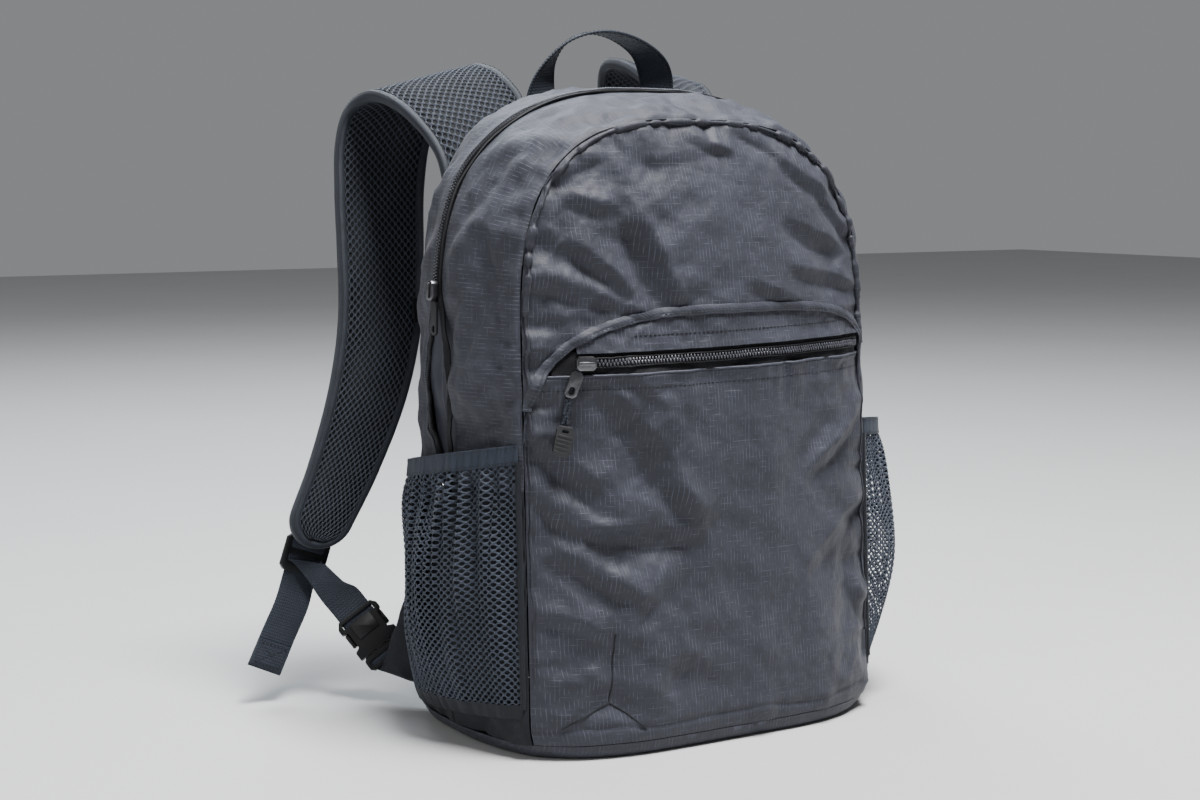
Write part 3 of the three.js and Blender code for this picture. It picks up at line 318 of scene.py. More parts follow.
def back(a, z):
    x = a * BACK_HALF * (1 - SIDE_TAPER * z / BACK_TOP)
    swell = BACK_BELLY * (1 - edge_share(a, z, BACK_TOP) ** 2.4)
    return settle(x, seam_y(REAR_SEAM, z, BACK_TOP) + swell, z)





def pocket_edge(a, grow=0):
    end = np.where(a < 0, POCKET_ARCH["left"][0], POCKET_ARCH["right"][0])
    power = np.where(a < 0, POCKET_ARCH["left"][1], POCKET_ARCH["right"][1])
    share = np.minimum(1, np.abs(a) / (1 + grow / FRONT_HALF))
    return end + (POCKET_TOP + grow - end) * (1 - share ** power) ** (1 / power)


def pocket_zip(a):
    return POCKET_ZIP + POCKET_ZIP_RISE * a * FRONT_HALF


def main_zip_v(st):
    level = level_of(st)
    side = mix(ZIP_LOW, ZIP_SIDE, smooth(level, ZIP_FOOT, ZIP_FOOT + 80))
    return mix(side, ZIP_TOP, smooth(level, FRONT_TOP - 60, FRONT_TOP))


def gape(st, edge):
    """How far the main zip's front edge, -1, or rear edge, 1, lies off its line."""
    place = (level_of(st) - ZIP_FOOT) / (ZIP_OPEN_TO - ZIP_FOOT)
    share = ZIP_GAPE_FRONT if edge < 0 else 1 - ZIP_GAPE_FRONT
    opened = (st["side"] < 0) & (place > 0) & (place < 1)
    return np.where(opened, ZIP_GAPE * share * np.sin(math.pi * np.clip(place, 0, 1)), 0)


def tape_half(st):
    return mix(0.2, TAPE, smooth(level_of(st), ZIP_FOOT - 14, ZIP_FOOT))


def side_pocket(side, u, v):
    """A point of a side pocket: u from its front seam to its rear one, v from its foot to its rim."""
    foot = mix(POCKET_FOOT[0], POCKET_FOOT[1], u)
    rim = mix(POCKET_RIM[0], POCKET_RIM[1], u)
    bulge, crest, share = SIDE_POCKETS[side]
    full = (1 - (1 - np.clip(v, 0, 1)) ** 3) * mix(1, share, smooth(v, 0.35, 1))
    place = np.abs(2 * np.clip(u, 0, 1) ** (math.log(0.5) / math.log(crest)) - 1)
    p = gusset(side_station(side, mix(foot, rim, v)), mix(0.022, 0.965, u))
    p[..., 0] += side * bulge * full * (1 - np.minimum(1, place) ** 2.4)
    return p


# Materials

class Look:
    """A procedural material, with its place on flat cloth or in the object, in millimetres."""

    def __init__(self, name, roughness, metallic=0.0, sheen=0.0, specular=0.5):
        self.material = bpy.data.materials.new(name)
        self.material.use_nodes = True
        self.tree = self.material.node_tree
        self.shader = self.tree.nodes["Principled BSDF"]
        self.feed(self.shader.inputs["Roughness"], roughness)
        self.shader.inputs["Metallic"].default_value = metallic
        self.shader.inputs["Sheen Weight"].default_value = sheen
        self.shader.inputs["Specular IOR Level"].default_value = specular

    def feed(self, socket, value):
        if isinstance(value, bpy.types.NodeSocket):
            self.tree.links.new(value, socket)
        elif isinstance(value, tuple):
            socket.default_value = (*value, 1.0) if len(socket.default_value) == 4 else value
        else:
            socket.default_value = value

    def node(self, kind, *inputs, **settings):
        made = self.tree.nodes.new(kind)
        for key, value in settings.items():
            setattr(made, key, value)
        for index, value in enumerate(inputs):
            if value is not None:
                self.feed(made.inputs[index], value)
        return made

    def math(self, operation, a, b=None, c=None):
        return self.node("ShaderNodeMath", a, b, c, operation=operation).outputs[0]

    def ramp(self, value, low, high, first=0.0, last=1.0):
        return self.node("ShaderNodeMapRange", value, low, high, first, last).outputs[0]

    def colours(self, share, first, last):
        made = self.node("ShaderNodeMix", data_type="RGBA")
        self.feed(made.inputs[0], share)
        self.feed(made.inputs[6], first)
        self.feed(made.inputs[7], last)
        return made.outputs[2]

    def cloth(self):
        place = self.node("ShaderNodeUVMap", uv_map="cloth").outputs[0]
        across, along, _ = self.node("ShaderNodeSeparateXYZ", place).outputs
        return self.math("MULTIPLY", across, 1000), self.math("MULTIPLY", along, 1000)

    def noise(self, size, detail=2.0, on=None, seed=0.0):
        """Noise with grains of a size, over a place on cloth or else in the object."""
        if on is None:
            vector = self.node("ShaderNodeTexCoord").outputs["Object"]
            vector = self.node("ShaderNodeVectorMath", vector, operation="SCALE")
            vector.inputs["Scale"].default_value = 1000
            vector = vector.outputs[0]
        else:
            vector = self.node("ShaderNodeCombineXYZ", on[0], on[1], seed).outputs[0]
        made = self.node("ShaderNodeTexNoise", vector)
        made.inputs["Scale"].default_value = 1 / size
        made.inputs["Detail"].default_value = detail
        return made.outputs["Fac"]

    def lines(self, value, pitch, half):
        """1 on lines a pitch apart, each twice half wide, and 0 between them."""
        place = self.math("FRACT", self.math("DIVIDE", value, pitch))
        off = self.math("ABSOLUTE", self.math("SUBTRACT", place, 0.5))
        return self.ramp(off, half / pitch, 0.3 * half / pitch)

    def ribs(self, value, pitch):
        return self.math("ABSOLUTE", self.math("SINE", self.math("MULTIPLY", value, math.pi / pitch)))

    def finish(self, colour, height):
        """Takes a colour, and a height in millimetres for its relief."""
        self.feed(self.shader.inputs["Base Color"], colour)
        bump = self.node("ShaderNodeBump")
        bump.inputs["Distance"].default_value = MM
        self.feed(bump.inputs["Height"], height)
        self.feed(self.shader.inputs["Normal"], bump.outputs[0])
        return self.material


def scaled(colour, share):
    return tuple(value * share for value in colour)


GRID = (2.5, 3.6)  # between the thicker threads, across and along
THREAD = 0.55  # between the thin ones


def ripstop(name, colour, roughness=0.56, thread=3.6, crinkle=0.8):
    """Thin cloth with a broken grid of thicker threads."""
    look = Look(name, roughness, sheen=0.05, specular=0.24)
    on = look.cloth()
    across = look.lines(on[0], GRID[0], 0.3)
    along = look.lines(on[1], GRID[1], 0.24)
    seen_across = look.ramp(look.noise(5, 2, on, 3.0), 0.42, 0.66)
    seen_along = look.ramp(look.noise(8, 2, on, 9.0), 0.5, 0.7)
    grid = look.math("MAXIMUM", look.math("MULTIPLY", across, seen_across),
                     look.math("MULTIPLY", along, seen_along))
    tone = look.ramp(look.noise(46, 3, on, 1.0), 0.3, 0.7)
    base = look.colours(tone, scaled(colour, 0.88), scaled(colour, 1.12))
    painted = look.colours(look.math("MULTIPLY", grid, 0.55), base, scaled(colour, thread))
    weave = look.math("MULTIPLY", look.ribs(on[0], THREAD), look.ribs(on[1], THREAD))
    height = look.math("MULTIPLY_ADD", grid, 0.09, look.math("MULTIPLY", weave, 0.035))
    soft = look.math("MULTIPLY", look.noise(7, 3, on, 5.0), crinkle)
    return look.finish(painted, look.math("ADD", height, soft))


def woven(name, colour, rib, cross, roughness=0.62, deep=0.2, specular=0.3):
    """Webbing or tape: ribs along it and picks across it."""
    look = Look(name, roughness, sheen=0.06, specular=specular)
    on = look.cloth()
    slant = look.math("MULTIPLY_ADD", look.ribs(on[0], 2 * rib), 0.5 * rib, on[1])
    along, across = look.ribs(on[0], rib), look.ribs(slant, cross)
    height = look.math("MULTIPLY", look.math("ADD", along, across), deep)
    worn = look.ramp(look.noise(9, 3, on, 2.0), 0.35, 0.75)
    # Painted shade and highlight: the weave is darker in its low places and lighter on its raised ribs
    weave_shade = look.ramp(look.math("ADD", along, across), 0.2, 1.5)
    base = look.colours(weave_shade, scaled(colour, 0.55), scaled(colour, 1.15))
    return look.finish(look.colours(look.math("MULTIPLY", worn, 0.35), base, scaled(colour, 1.5)), height)


def knit(name, colour, roughness=0.75):
    """Yarn of the nets, fuzzy and dark."""
    look = Look(name, roughness, sheen=0.1, specular=0.3)
    grain = look.noise(0.7, 2)
    patch = look.ramp(look.noise(30, 2), 0.3, 0.7)
    base = look.colours(patch, scaled(colour, 0.8), scaled(colour, 1.2))
    return look.finish(look.colours(grain, scaled(colour, 0.6), base), look.math("MULTIPLY", grain, 0.25))


def moulded(name, colour, roughness=0.4, grain=0.05, specular=0.5):
    look = Look(name, roughness, specular=specular)
    rub = look.ramp(look.noise(6, 4), 0.45, 0.8)
    pebble = look.noise(0.35, 2)
    return look.finish(look.colours(rub, colour, scaled(colour, 1.5)), look.math("MULTIPLY", pebble, grain))


def metal(name, colour, roughness=0.33):
    look = Look(name, roughness, metallic=1.0)
    stain = look.ramp(look.noise(2.5, 4), 0.35, 0.7)
    return look.finish(look.colours(stain, scaled(colour, 0.7), colour),
                       look.math("MULTIPLY", look.noise(0.6, 3), 0.04))


CHARCOAL = (0.0272, 0.0288, 0.0385)
NAVY = (0.0088, 0.0108, 0.0155)
BLACK = (0.0045, 0.0045, 0.0055)

cloth_look = ripstop("ripstop", CHARCOAL)
lining_look = ripstop("lining", scaled(CHARCOAL, 1.25), roughness=0.35, thread=1.1, crinkle=0.3)
back_look = ripstop("back_cloth", scaled(CHARCOAL, 0.85))
wing_look = ripstop("wing_cloth", scaled(NAVY, 0.8), roughness=0.66, thread=1.4)
webbing_look = woven("webbing", scaled(NAVY, 1.95), 1.5, 2.1, specular=0.2)
grosgrain_look = woven("grosgrain", scaled(NAVY, 2.7), 6.0, 0.9, deep=0.14, specular=0.15)
tape_look = woven("zip_tape", scaled(BLACK, 1.5), 1.0, 1.1, deep=0.1, specular=0.1)
binding_look = woven("binding", scaled(NAVY, 1.5), 3.0, 0.8, roughness=0.62, deep=0.1)
net_look = knit("net_yarn", scaled(NAVY, 4.8))
air_look = knit("air_mesh_yarn", scaled(NAVY, 3.0))
foam_look = knit("pad_cloth", scaled(NAVY, 0.55), 0.85)
coil_look = moulded("coil", scaled(BLACK, 1.3), 0.5, 0.02, 0.15)
# The pocket zip's teeth: their own grey, made lighter still as a painted highlight for the glints on them
lit_teeth_look = moulded("coil_teeth", scaled(BLACK, 12), 0.38, 0.02, 0.4)
dark_teeth_look = moulded("dark_coil_teeth", scaled(BLACK, 7), 0.38, 0.02, 0.4)
# Painted shade: the gusset's own cloth, made dark navy where it lies in shade behind the side pockets' nets
gusset_shade_look = ripstop("side_cloth_painted_shade", scaled(NAVY, 0.7), roughness=0.7, thread=1.4)
# A lighter copy of the charcoal cloth: a painted highlight on the pocket zip's lower lip
lit_lip_look = ripstop("lip_cloth_painted_highlight", scaled(CHARCOAL, 1.45), thread=1.2)
plastic_look = moulded("plastic", scaled(BLACK, 0.8), 0.46, specular=0.3)
rubber_look = moulded("rubber", scaled(BLACK, 2.2), 0.6, 0.08)
metal_look = metal("gunmetal", (0.16, 0.16, 0.17))
thread_look = knit("thread", scaled(CHARCOAL, 1.3), 0.6)
dark_thread_look = knit("dark_thread", scaled(NAVY, 0.6), 0.8)


# Meshes. A part is its points, its faces and its places on flat cloth.

def normals(p):
    n = np.cross(np.gradient(p, axis=0), np.gradient(p, axis=1))
    return n / np.maximum(np.linalg.norm(n, axis=-1, keepdims=True), 1e-9)


def outward(points, faces):
    """The faces, turned to point out of the solid that they close."""
    fan = [block[:, (0, k, k + 1)] for block in faces for k in range(1, block.shape[1] - 1)]
    a, b, c = (points[np.concatenate(fan)[:, k]] for k in range(3))
    volume = (a * np.cross(b, c)).sum()
    return [block[:, ::-1] for block in faces] if volume < 0 else faces


def shell(p, wall, lift, places=None):
    """A thin solid over a grid of points. Its inner face lies lift off them."""
    n = normals(p)
    rows, columns = p.shape[:2]
    count = rows * columns
    points = np.concatenate([(p + n * lift).reshape(-1, 3), (p + n * (lift + wall)).reshape(-1, 3)])
    index = np.arange(count).reshape(rows, columns)
    quads = np.stack([index[:-1, :-1], index[1:, :-1], index[1:, 1:], index[:-1, 1:]], -1).reshape(-1, 4)
    blocks = [quads + count, quads[:, ::-1]]
    for edge in (index[:, 0], index[-1, :], index[::-1, -1], index[0, ::-1]):
        blocks.append(np.stack([edge[:-1], edge[1:], edge[1:] + count, edge[:-1] + count], -1))
    if places is None:
        step = np.linalg.norm(np.diff(p, axis=0), axis=-1)
        across = np.concatenate([np.zeros((1, columns)), np.cumsum(step, 0)])
        step = np.linalg.norm(np.diff(p, axis=1), axis=-1)
        places = across, np.concatenate([np.zeros((rows, 1)), np.cumsum(step, 1)], 1)
    flat = np.stack(np.broadcast_arrays(*places), -1).reshape(-1, 2)
    return points, outward(points, blocks), np.concatenate([flat, flat])


def loft(loops, places=None):
    """A solid through loops of equally many points, with its two ends capped."""
    loops = np.asarray(loops, float)
    rows, columns = loops.shape[:2]
    index = np.arange(rows * columns).reshape(rows, columns)
    turned = np.roll(index, -1, axis=1)
    sides = np.stack([index[:-1], turned[:-1], turned[1:], index[1:]], -1).reshape(-1, 4)
    fan = lambda row: np.stack([np.full(columns - 2, row[0]), row[1:-1], row[2:]], -1)
    points = loops.reshape(-1, 3)
    if places is None:
        places = points[:, (0, 2)]
    blocks = [sides, fan(index[0])[:, ::-1], fan(index[-1])]
    return points, outward(points, blocks), np.asarray(places, float).reshape(-1, 2)


def joined(parts):
    points, blocks, places, start = [], [], [], 0
    for part_points, part_faces, part_places in parts:
        points.append(part_points)
        blocks += [block + start for block in part_faces]
        places.append(part_places)
        start += len(part_points)
    return np.concatenate(points), blocks, np.concatenate(places)


def piece(name, nodes, parts, sharp=50):
    """One object of the scene, from parts and their looks, that stands for some nodes."""
    mesh = bpy.data.meshes.new(name)
    points, blocks, places = joined([part for part, _ in parts])
    faces = [face for block in blocks for face in block.tolist()]
    mesh.from_pydata((points * MM).tolist(), [], faces)
    layer = mesh.uv_layers.new(name="cloth")
    corner = np.empty(len(mesh.loops), np.int32)
    mesh.loops.foreach_get("vertex_index", corner)
    layer.data.foreach_set("uv", (places[corner] * MM).ravel())
    looks, kinds = [], []
    for part, look in parts:
        of_blocks = look if isinstance(look, list) else [look] * len(part[1])
        for block, block_look in zip(part[1], of_blocks):
            if block_look not in looks:
                looks.append(block_look)
                mesh.materials.append(block_look)
            kinds += [looks.index(block_look)] * len(block)
    mesh.polygons.foreach_set("material_index", kinds)
    mesh.polygons.foreach_set("use_smooth", [True] * len(mesh.polygons))
    mesh.update()
    mesh.set_sharp_from_angle(angle=math.radians(sharp))
    made = bpy.data.objects.new(name, mesh)
    bpy.context.collection.objects.link(made)
    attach(made, "root")
    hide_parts(*nodes)
    return made


def unit(v):
    v = np.asarray(v, float)
    return v / np.maximum(np.linalg.norm(v, axis=-1, keepdims=True), 1e-9)


def copies(shape, at, across, along, out):
    """Copies of a small part, its own x across, y along and z out, at many places."""
    points, blocks, _ = shape
    at, across, along, out = (np.atleast_2d(v) for v in (at, across, along, out))
    moved = (at[:, None] + points[None, :, :1] * across[:, None] + points[None, :, 1:2] * along[:, None]
             + points[None, :, 2:] * out[:, None])
    shift = (np.arange(len(at)) * len(points))[:, None, None]
    faces = [(block[None] + shift).reshape(-1, block.shape[1]) for block in blocks]
    flat = moved.reshape(-1, 3)
    return flat, faces, flat[:, (0, 2)]


def pill(length, width, height, sides=5, rings=4):
    """A small rounded bar along y, that lies on z = 0."""
    turn = np.arange(sides) * 2 * math.pi / sides
    loops = []
    for k in range(rings):
        angle = math.pi * (k / (rings - 1) - 0.5) * 0.92
        size, y = math.cos(angle) ** 0.6, length / 2 * math.sin(angle)
        loops.append(np.stack([width / 2 * size * np.cos(turn), 0 * turn + y,
                               height / 2 * (1 + size * np.sin(turn))], -1))
    return loft(loops)


def lengths(path):
    """How far each point of a path lies along it."""
    return np.concatenate([[0], np.cumsum(np.linalg.norm(np.diff(path, axis=0), axis=1))])


def spots(path, out, pitch):
    """Points a pitch apart along a path over a face: each with its way along, across and off the face."""
    run = lengths(path)
    count = max(2, int(run[-1] / pitch))
    at = (np.arange(count) + 0.5) * run[-1] / count
    pick = lambda values, places: np.stack([np.interp(places, run, values[:, k]) for k in range(3)], -1)
    along, up = unit(pick(path, at + 0.5) - pick(path, at - 0.5)), unit(pick(out, at))
    return pick(path, at), along, unit(np.cross(along, up)), up


def stitches(path, out, pitch=3.2, length=2.3, width=0.55):
    """A line of stitches along a path over a face, out being its normals."""
    at, along, across, up = spots(path, out, pitch)
    return copies(pill(length, width, 0.5), at - 0.12 * up, across, along, up)


def teeth(path, out, side, width, pitch, height):
    """One row of a coil's teeth, on one side of a path over a face."""
    at, along, across, up = spots(path, out, pitch)
    middle = at + across * side * width * 0.42 + along * (pitch / 4 * side)
    return copies(pill(width, pitch * 0.6, height), middle, along, across, up)


def grid_line(p, place, lift=0.0, axis=1):
    """The path and the normals along one line of a grid of points, lifted off them."""
    n = normals(p)
    path, out = np.take(p, place, axis), np.take(n, place, axis)
    return path + out * lift, out


def tube(path, radius, sides=8, squash=1.0, out=None):
    """A round or oval cord along a path."""
    path = np.asarray(path, float)
    along = unit(np.gradient(path, axis=0))
    lead = np.array([0.0, 0, 1.0]) if out is None else out
    across = unit(np.cross(along, lead))
    up = np.cross(across, along)
    turn = np.arange(sides) * 2 * math.pi / sides
    loops = (path[:, None] + radius * np.cos(turn)[None, :, None] * across[:, None]
             + radius * squash * np.sin(turn)[None, :, None] * up[:, None])
    places = np.stack(np.broadcast_arrays(radius * turn[None], lengths(path)[:, None]), -1)
    return loft(loops, places)


# Relief of the cloth

# Crisp folds of the front: the two ends of each, half its width and its height. Each drops away on its
# lower side.
FOLDS = [
    (-82, 232, -32, 156, 10, 4.6), (-120, 196, -80, 156, 7, 3.4), (-92, 142, -24, 138, 8, 4.4),
    (-116, 128, -70, 102, 7, 3.0), (-128, 168, -108, 143, 4, 1.8), (-127, 114, -108, 97, 4, 1.8),
    (-128, 92, -93, 78, 5, 2.2), (-118, 236, -72, 224, 6, 2.0), (-36, 116, -70, 88, 7, 2.2),
    (72, 170, 132, 208, 6, 3.2), (70, 110, 130, 146, 7, 2.8), (110, 92, 132, 58, 6, 2.2),
    (86, 24, 131, 20, 6, 1.8), (-48, 178, -18, 146, 6, 2.0), (-30, 62, -60, 44, 8, 1.2),
    (-112, 367, -74, 378, 5, 2.4), (-108, 353, -70, 342, 5, 2.2), (-64, 346, -37, 288, 8, 4.0),
    (-100, 322, -66, 293, 6, 3.2), (-131, 333, -110, 325, 5, 2.4), (-128, 301, -80, 286, 7, 2.6),
    (62, 333, 110, 314, 6, 3.0), (64, 304, 122, 292, 5, 2.4), (-12, 391, 20, 379, 4, 1.8),
    (30, 395, 58, 380, 4, 1.8), (60, 376, 106, 344, 5, 2.0), (-46, 375, 12, 381, 4, 1.0),
    (-86, 287, -54, 280, 4, 1.6), (24, 295, 64, 284, 5, 1.4), (96, 346, 122, 322, 4, 2.0),
]
# Sewn lines like a Y upside down, low on the left, from the place where they meet
YOKE = [
    ((-88, 36), (-85, 58), (-84, 80)),
    ((-88, 36), (-102, 30), (-119, 21)),
    ((-88, 36), (-78, 29), (-66, 18)),
]


def seam_frame(a, z):
    """How far a place of the front lies from its arched seam, and how far along the seam that is."""
    rise = FRONT_TOP - SHOULDER
    q = np.maximum(0, (z - SHOULDER) / rise)
    edge = np.maximum(edge_share(a, z, FRONT_TOP), 1e-3)
    slope = np.hypot(np.abs(a) ** (ARCH_POWER - 1) / FRONT_HALF, q ** (ARCH_POWER - 1) / rise)
    away = (1 - edge) / np.maximum(slope * edge ** (1 - ARCH_POWER), 1e-4)
    return away, run_from_foot(q, a, z, a < 0)


def front_relief(x, z):
    """The wrinkles that all pieces of the front share, sunk ones below 0."""
    side = np.maximum(smooth(-x, -6, 62), 0.75 * smooth(x, 66, 112))
    busy = mix(0.3, 1, side) * mix(1, 0.75, smooth(z, 270, 330)) * (0.6 + 0.8 * noise(x / 60, z / 60, 41))
    wave = 2.6 * crumple(x, z, 3, 80, 6) + 3.4 * crumple(x, z, 5, 40, 7) * busy
    fine = 1.7 * crumple(x, z, 7, 20, 7) * busy + 0.4 * crumple(x, z, 9, 8, 6) * (0.4 + 0.6 * busy)
    fade = mix(0.05, 1, smooth(z, 10, 48))
    relief = (wave + fine + 1.25 * folds(FOLDS, x, z)) * fade
    under_pull = np.exp(-((x + 103) / 17) ** 4 - ((z - 226) / 34) ** 4)
    return mix(relief, np.minimum(relief, 0) * 0.5 - 1.0, under_pull)


def front_grid(a, z, extra=0.0):
    """Points of the front with its wrinkles, and their places on flat cloth."""
    a, z = np.broadcast_arrays(a, z)
    x = a * front_half(z)
    away, along = seam_frame(a, z)
    tied = np.minimum(1, away / 14)
    relief = front_relief(x, z) * tied + extra
    relief = relief + puckers(along, away, 2, 4.2, 13, 17) * np.minimum(1, away / 4)
    return front(a, z) + np.array([0, -1.0, 0]) * relief[..., None], (x, z)


def gusset_grid(st, v):
    """Points of the gusset with its wrinkles, and their places on flat cloth."""
    depth = depth_of(st)
    run = run_from_foot(st["q"], st["c"], level_of(st), st["side"] < 0)
    w = v * depth
    near = np.minimum(w, (1 - v) * depth)
    from_zip = np.abs(w - main_zip_v(st) * depth)
    tied = np.minimum(1, near / 12) * mix(0.1, 1, smooth(from_zip, 3, 24))
    wave = 3.4 * crumple(run, w, 23, 58, 6) + 2.4 * crumple(run, w, 25, 31, 7)
    fine = 0.9 * crumple(run, w, 27, 16, 7) + 0.3 * crumple(run, w, 29, 8, 5)
    relief = (wave + fine) * tied + puckers(run, w, 12, 2.2, 12, 16) * np.minimum(1, w / 6)
    relief = relief + 1.2 * np.exp(-((w - 3.2) / 2.2) ** 2)
    p = gusset(st, v)
    return p + normals(p) * relief[..., None], (run, w)


# Pieces of the body

def spaced(count, ends=0.55):
    """Shares from 0 to 1, closer together near both ends."""
    t = np.linspace(0, 1, count)
    return mix(t, 0.5 - 0.5 * np.cos(math.pi * t), ends)


def make_front_panel():
    start = 0.5 * SHOULDER_RUN / ARCH_LENGTH
    st = stations(start, 1 - start, 206)
    a, low = st["side"] * st["c"], pocket_edge(st["side"] * st["c"], SEAM)
    p, places = front_grid(a, mix(low, np.maximum(level_of(st), low + 1), spaced(78)[None]))
    piece("front_panel_cloth", ["front_panel"], [(shell(p, CLOTH, -CLOTH, places), cloth_look)])


def pocket_top(a):
    return np.minimum(pocket_zip(a) - ZIP_BELOW, pocket_edge(a, -SEAM))


def sewn_line(row):
    """A thin sewn line through places on the front."""
    corners = np.array(row, float)
    share = np.linspace(0, len(row) - 1, 40)
    x, z = (np.interp(share, range(len(row)), corners[:, k])[:, None] for k in range(2))
    p, _ = front_grid(x / front_half(z), z + 0 * x)
    return tube(p[:, 0] - np.array([0, 0.1, 0]), 0.55, 6, out=np.array([0, -1.0, 0.2]))


def make_pocket():
    a = np.sin((np.linspace(0, 1, 204) - 0.5) * math.pi)[:, None]
    z = mix(WALL_FOOT, pocket_top(a), spaced(114, 0.35)[None])
    x = a * FRONT_HALF
    under = pocket_top(a) - z
    lip = 0.9 * np.exp(-((under - 1.5) / 1.6) ** 2) + puckers(x, under, 17, 2.6, 15, 15)
    foot = -1.1 * np.exp(-((z - 17 - 4 * noise(x / 40, 0, 8)) / 1.5) ** 2)
    foot = foot + puckers(x, np.abs(z - 19), 19, 2.2, 18, 8)
    p, places = front_grid(a, z, lip + foot)
    parts = [(shell(p, CLOTH, -CLOTH, places), cloth_look)]
    parts += [(sewn_line(row), dark_thread_look) for row in YOKE]
    under_zip = p[24:-10]
    # The rolled lip under the zip, in the lighter cloth: a painted highlight along its edge
    parts.append((tube(grid_line(under_zip, -1, 0.1)[0], 0.9, 8), lit_lip_look))
    parts.append((stitches(*grid_line(under_zip, -7)), dark_thread_look))
    piece("pocket_panel_cloth", ["pocket_panel"], parts)


def make_pocket_header():
    a = mix(-0.76, 0.955, np.linspace(0, 1, 190))[:, None]
    low, high = pocket_zip(a) + ZIP_ABOVE - 1.6, pocket_edge(a, -SEAM)
    z = mix(low, high, np.linspace(0, 1, 20)[None])
    over = z - low
    flap = 1.0 * np.exp(-(over / 5) ** 2) + 0.5 * noise(a * 20, 0 * z, 4) * np.exp(-over / 4)
    p, places = front_grid(a, z, flap)
    parts = [(shell(p, CLOTH, -1.2, places), cloth_look)]
    sewn = front_grid(a[30:-8], pocket_zip(a[30:-8]) + 15.5)[0][:, 0]
    out = np.tile([0.0, -1.0, 0.0], (len(sewn), 1))
    parts.append((stitches(sewn + 0.4 * out, out, width=0.8), dark_thread_look))
    piece("pocket_header_cloth", ["pocket_header"], parts)


def make_pocket_zip():
    a = mix(-0.88, 0.955, np.linspace(0, 1, 190))[:, None]
    top = np.minimum(pocket_zip(a) + ZIP_ABOVE, pocket_edge(a, -SEAM))
    low = pocket_top(a) + SEAM
    z = mix(low, np.maximum(top - SEAM, low + 0.5), np.linspace(0, 1, 12)[None])
    p, _ = front_grid(a, z)
    piece("pocket_zip_tape_weave", ["pocket_zip_tape"], [(shell(p, CLOTH, -1.8), tape_look)])

    a = mix(*POCKET_ZIP_ENDS, np.linspace(0, 1, 190))[:, None]
    p, _ = front_grid(a, pocket_zip(a) + 5.6 * (np.linspace(0, 1, 7) - 0.5)[None])
    parts = [(shell(p, 0.7, 0.1), coil_look)]
    # Teeth in the lighter look, a painted highlight for their glints
    parts += [(teeth(*grid_line(p, 3, 0.75), side, 2.3, 2.3, 1.5), lit_teeth_look) for side in (-1, 1)]
    parts += [(tube(grid_line(p, k, 0.9)[0], 0.55, 6), coil_look) for k in (0, 6)]
    piece("pocket_zip_coil_teeth", ["pocket_zip_coil"], parts)


def make_pocket_binding():
    angle = (np.linspace(0, 1, 260) - 0.5) * math.pi * 0.985
    power = np.where(angle < 0, POCKET_ARCH["left"][1], POCKET_ARCH["right"][1])
    a = (np.sign(angle) * np.abs(np.sin(angle)) ** (2 / power) * 0.992)[:, None]
    low, high = np.maximum(a - 0.004, -0.998), np.minimum(a + 0.004, 0.998)
    run, climb = (high - low) * FRONT_HALF, pocket_edge(high) - pocket_edge(low)
    length = np.hypot(run, climb)
    w = np.linspace(-1, 1, 11)[None]
    off = BINDING / 2 * w * (1 + 0.12 * (noise(a * 30, 0, 3) - 0.5))
    groove = 0.8 * np.exp(-((w + 0.35) / 0.14) ** 2)
    round_up = 0.4 + 0.6 * (1 - w ** 2) + 0.4 * (noise(a * 40, w, 6) - 0.5) - groove
    p, _ = front_grid(a - off * climb / length / FRONT_HALF, pocket_edge(a) + off * run / length, round_up)
    parts = [(shell(p, 1.1, 0.3), cloth_look)]
    parts.append((stitches(*grid_line(p[4:-4], 2, 1.4), 2.8, 2.0, 0.45), thread_look))
    piece("pocket_binding_fold", ["pocket_binding"], parts)


def split_below(part, height, look, low_look):
    """The part with another look on its faces that lie lower than a height."""
    points, blocks, places = part
    low = [points[block][..., 2].mean(1) < height for block in blocks]
    upper = [block[~chosen] for block, chosen in zip(blocks, low)]
    lower = [block[chosen] for block, chosen in zip(blocks, low)]
    return [((points, upper + lower, places), [look] * len(upper) + [low_look] * len(lower))]


def arch_roll():
    """The rolled edge of the gusset along the front's arched seam, notched where it gathers."""
    count, forward = 700, np.array([0, -1.0, 0])
    st = stations(0.045, 0.955, count)
    level = level_of(st)
    a = st["side"] * st["c"] * (1 - 2.2 / FRONT_HALF)
    inner, _ = front_grid(a, np.where(st["q"] > 0, level - 1.0, level))
    run, level = np.linspace(0, 2 * ARCH_LENGTH, count), level[:, 0]
    path = inner[:, 0] + 0.9 * forward
    radius = mix(0.6, 1.7 + 1.5 * noise(run / 24, 0, 15), smooth(level, 200, 300))
    pinch = smooth(noise(run / 6.5, 0, 16), 0.58, 0.74) * smooth(level, 215, 280)
    radius = radius * (1 - 0.62 * pinch) * (0.85 + 0.3 * noise(run / 4, 0, 18))
    across = unit(np.cross(unit(np.gradient(path, axis=0)), forward))
    turn = (np.arange(8) * math.pi / 4)[None, :, None]
    out = np.cos(turn) * across[:, None] + np.sin(turn) * forward
    return loft(path[:, None] + radius[:, None, None] * out)


def gusset_cloth(st, start, end, count):
    """The gusset's cloth between two shares of its depth, painted darker in its lower part as the shade
    behind the side pockets' nets.
    """
    p, places = gusset_grid(st, mix(start, end, spaced(count, 0.6)[None]))
    return split_below(shell(p, CLOTH, -CLOTH, places), SHADED_GUSSET_TOP, cloth_look, gusset_shade_look)


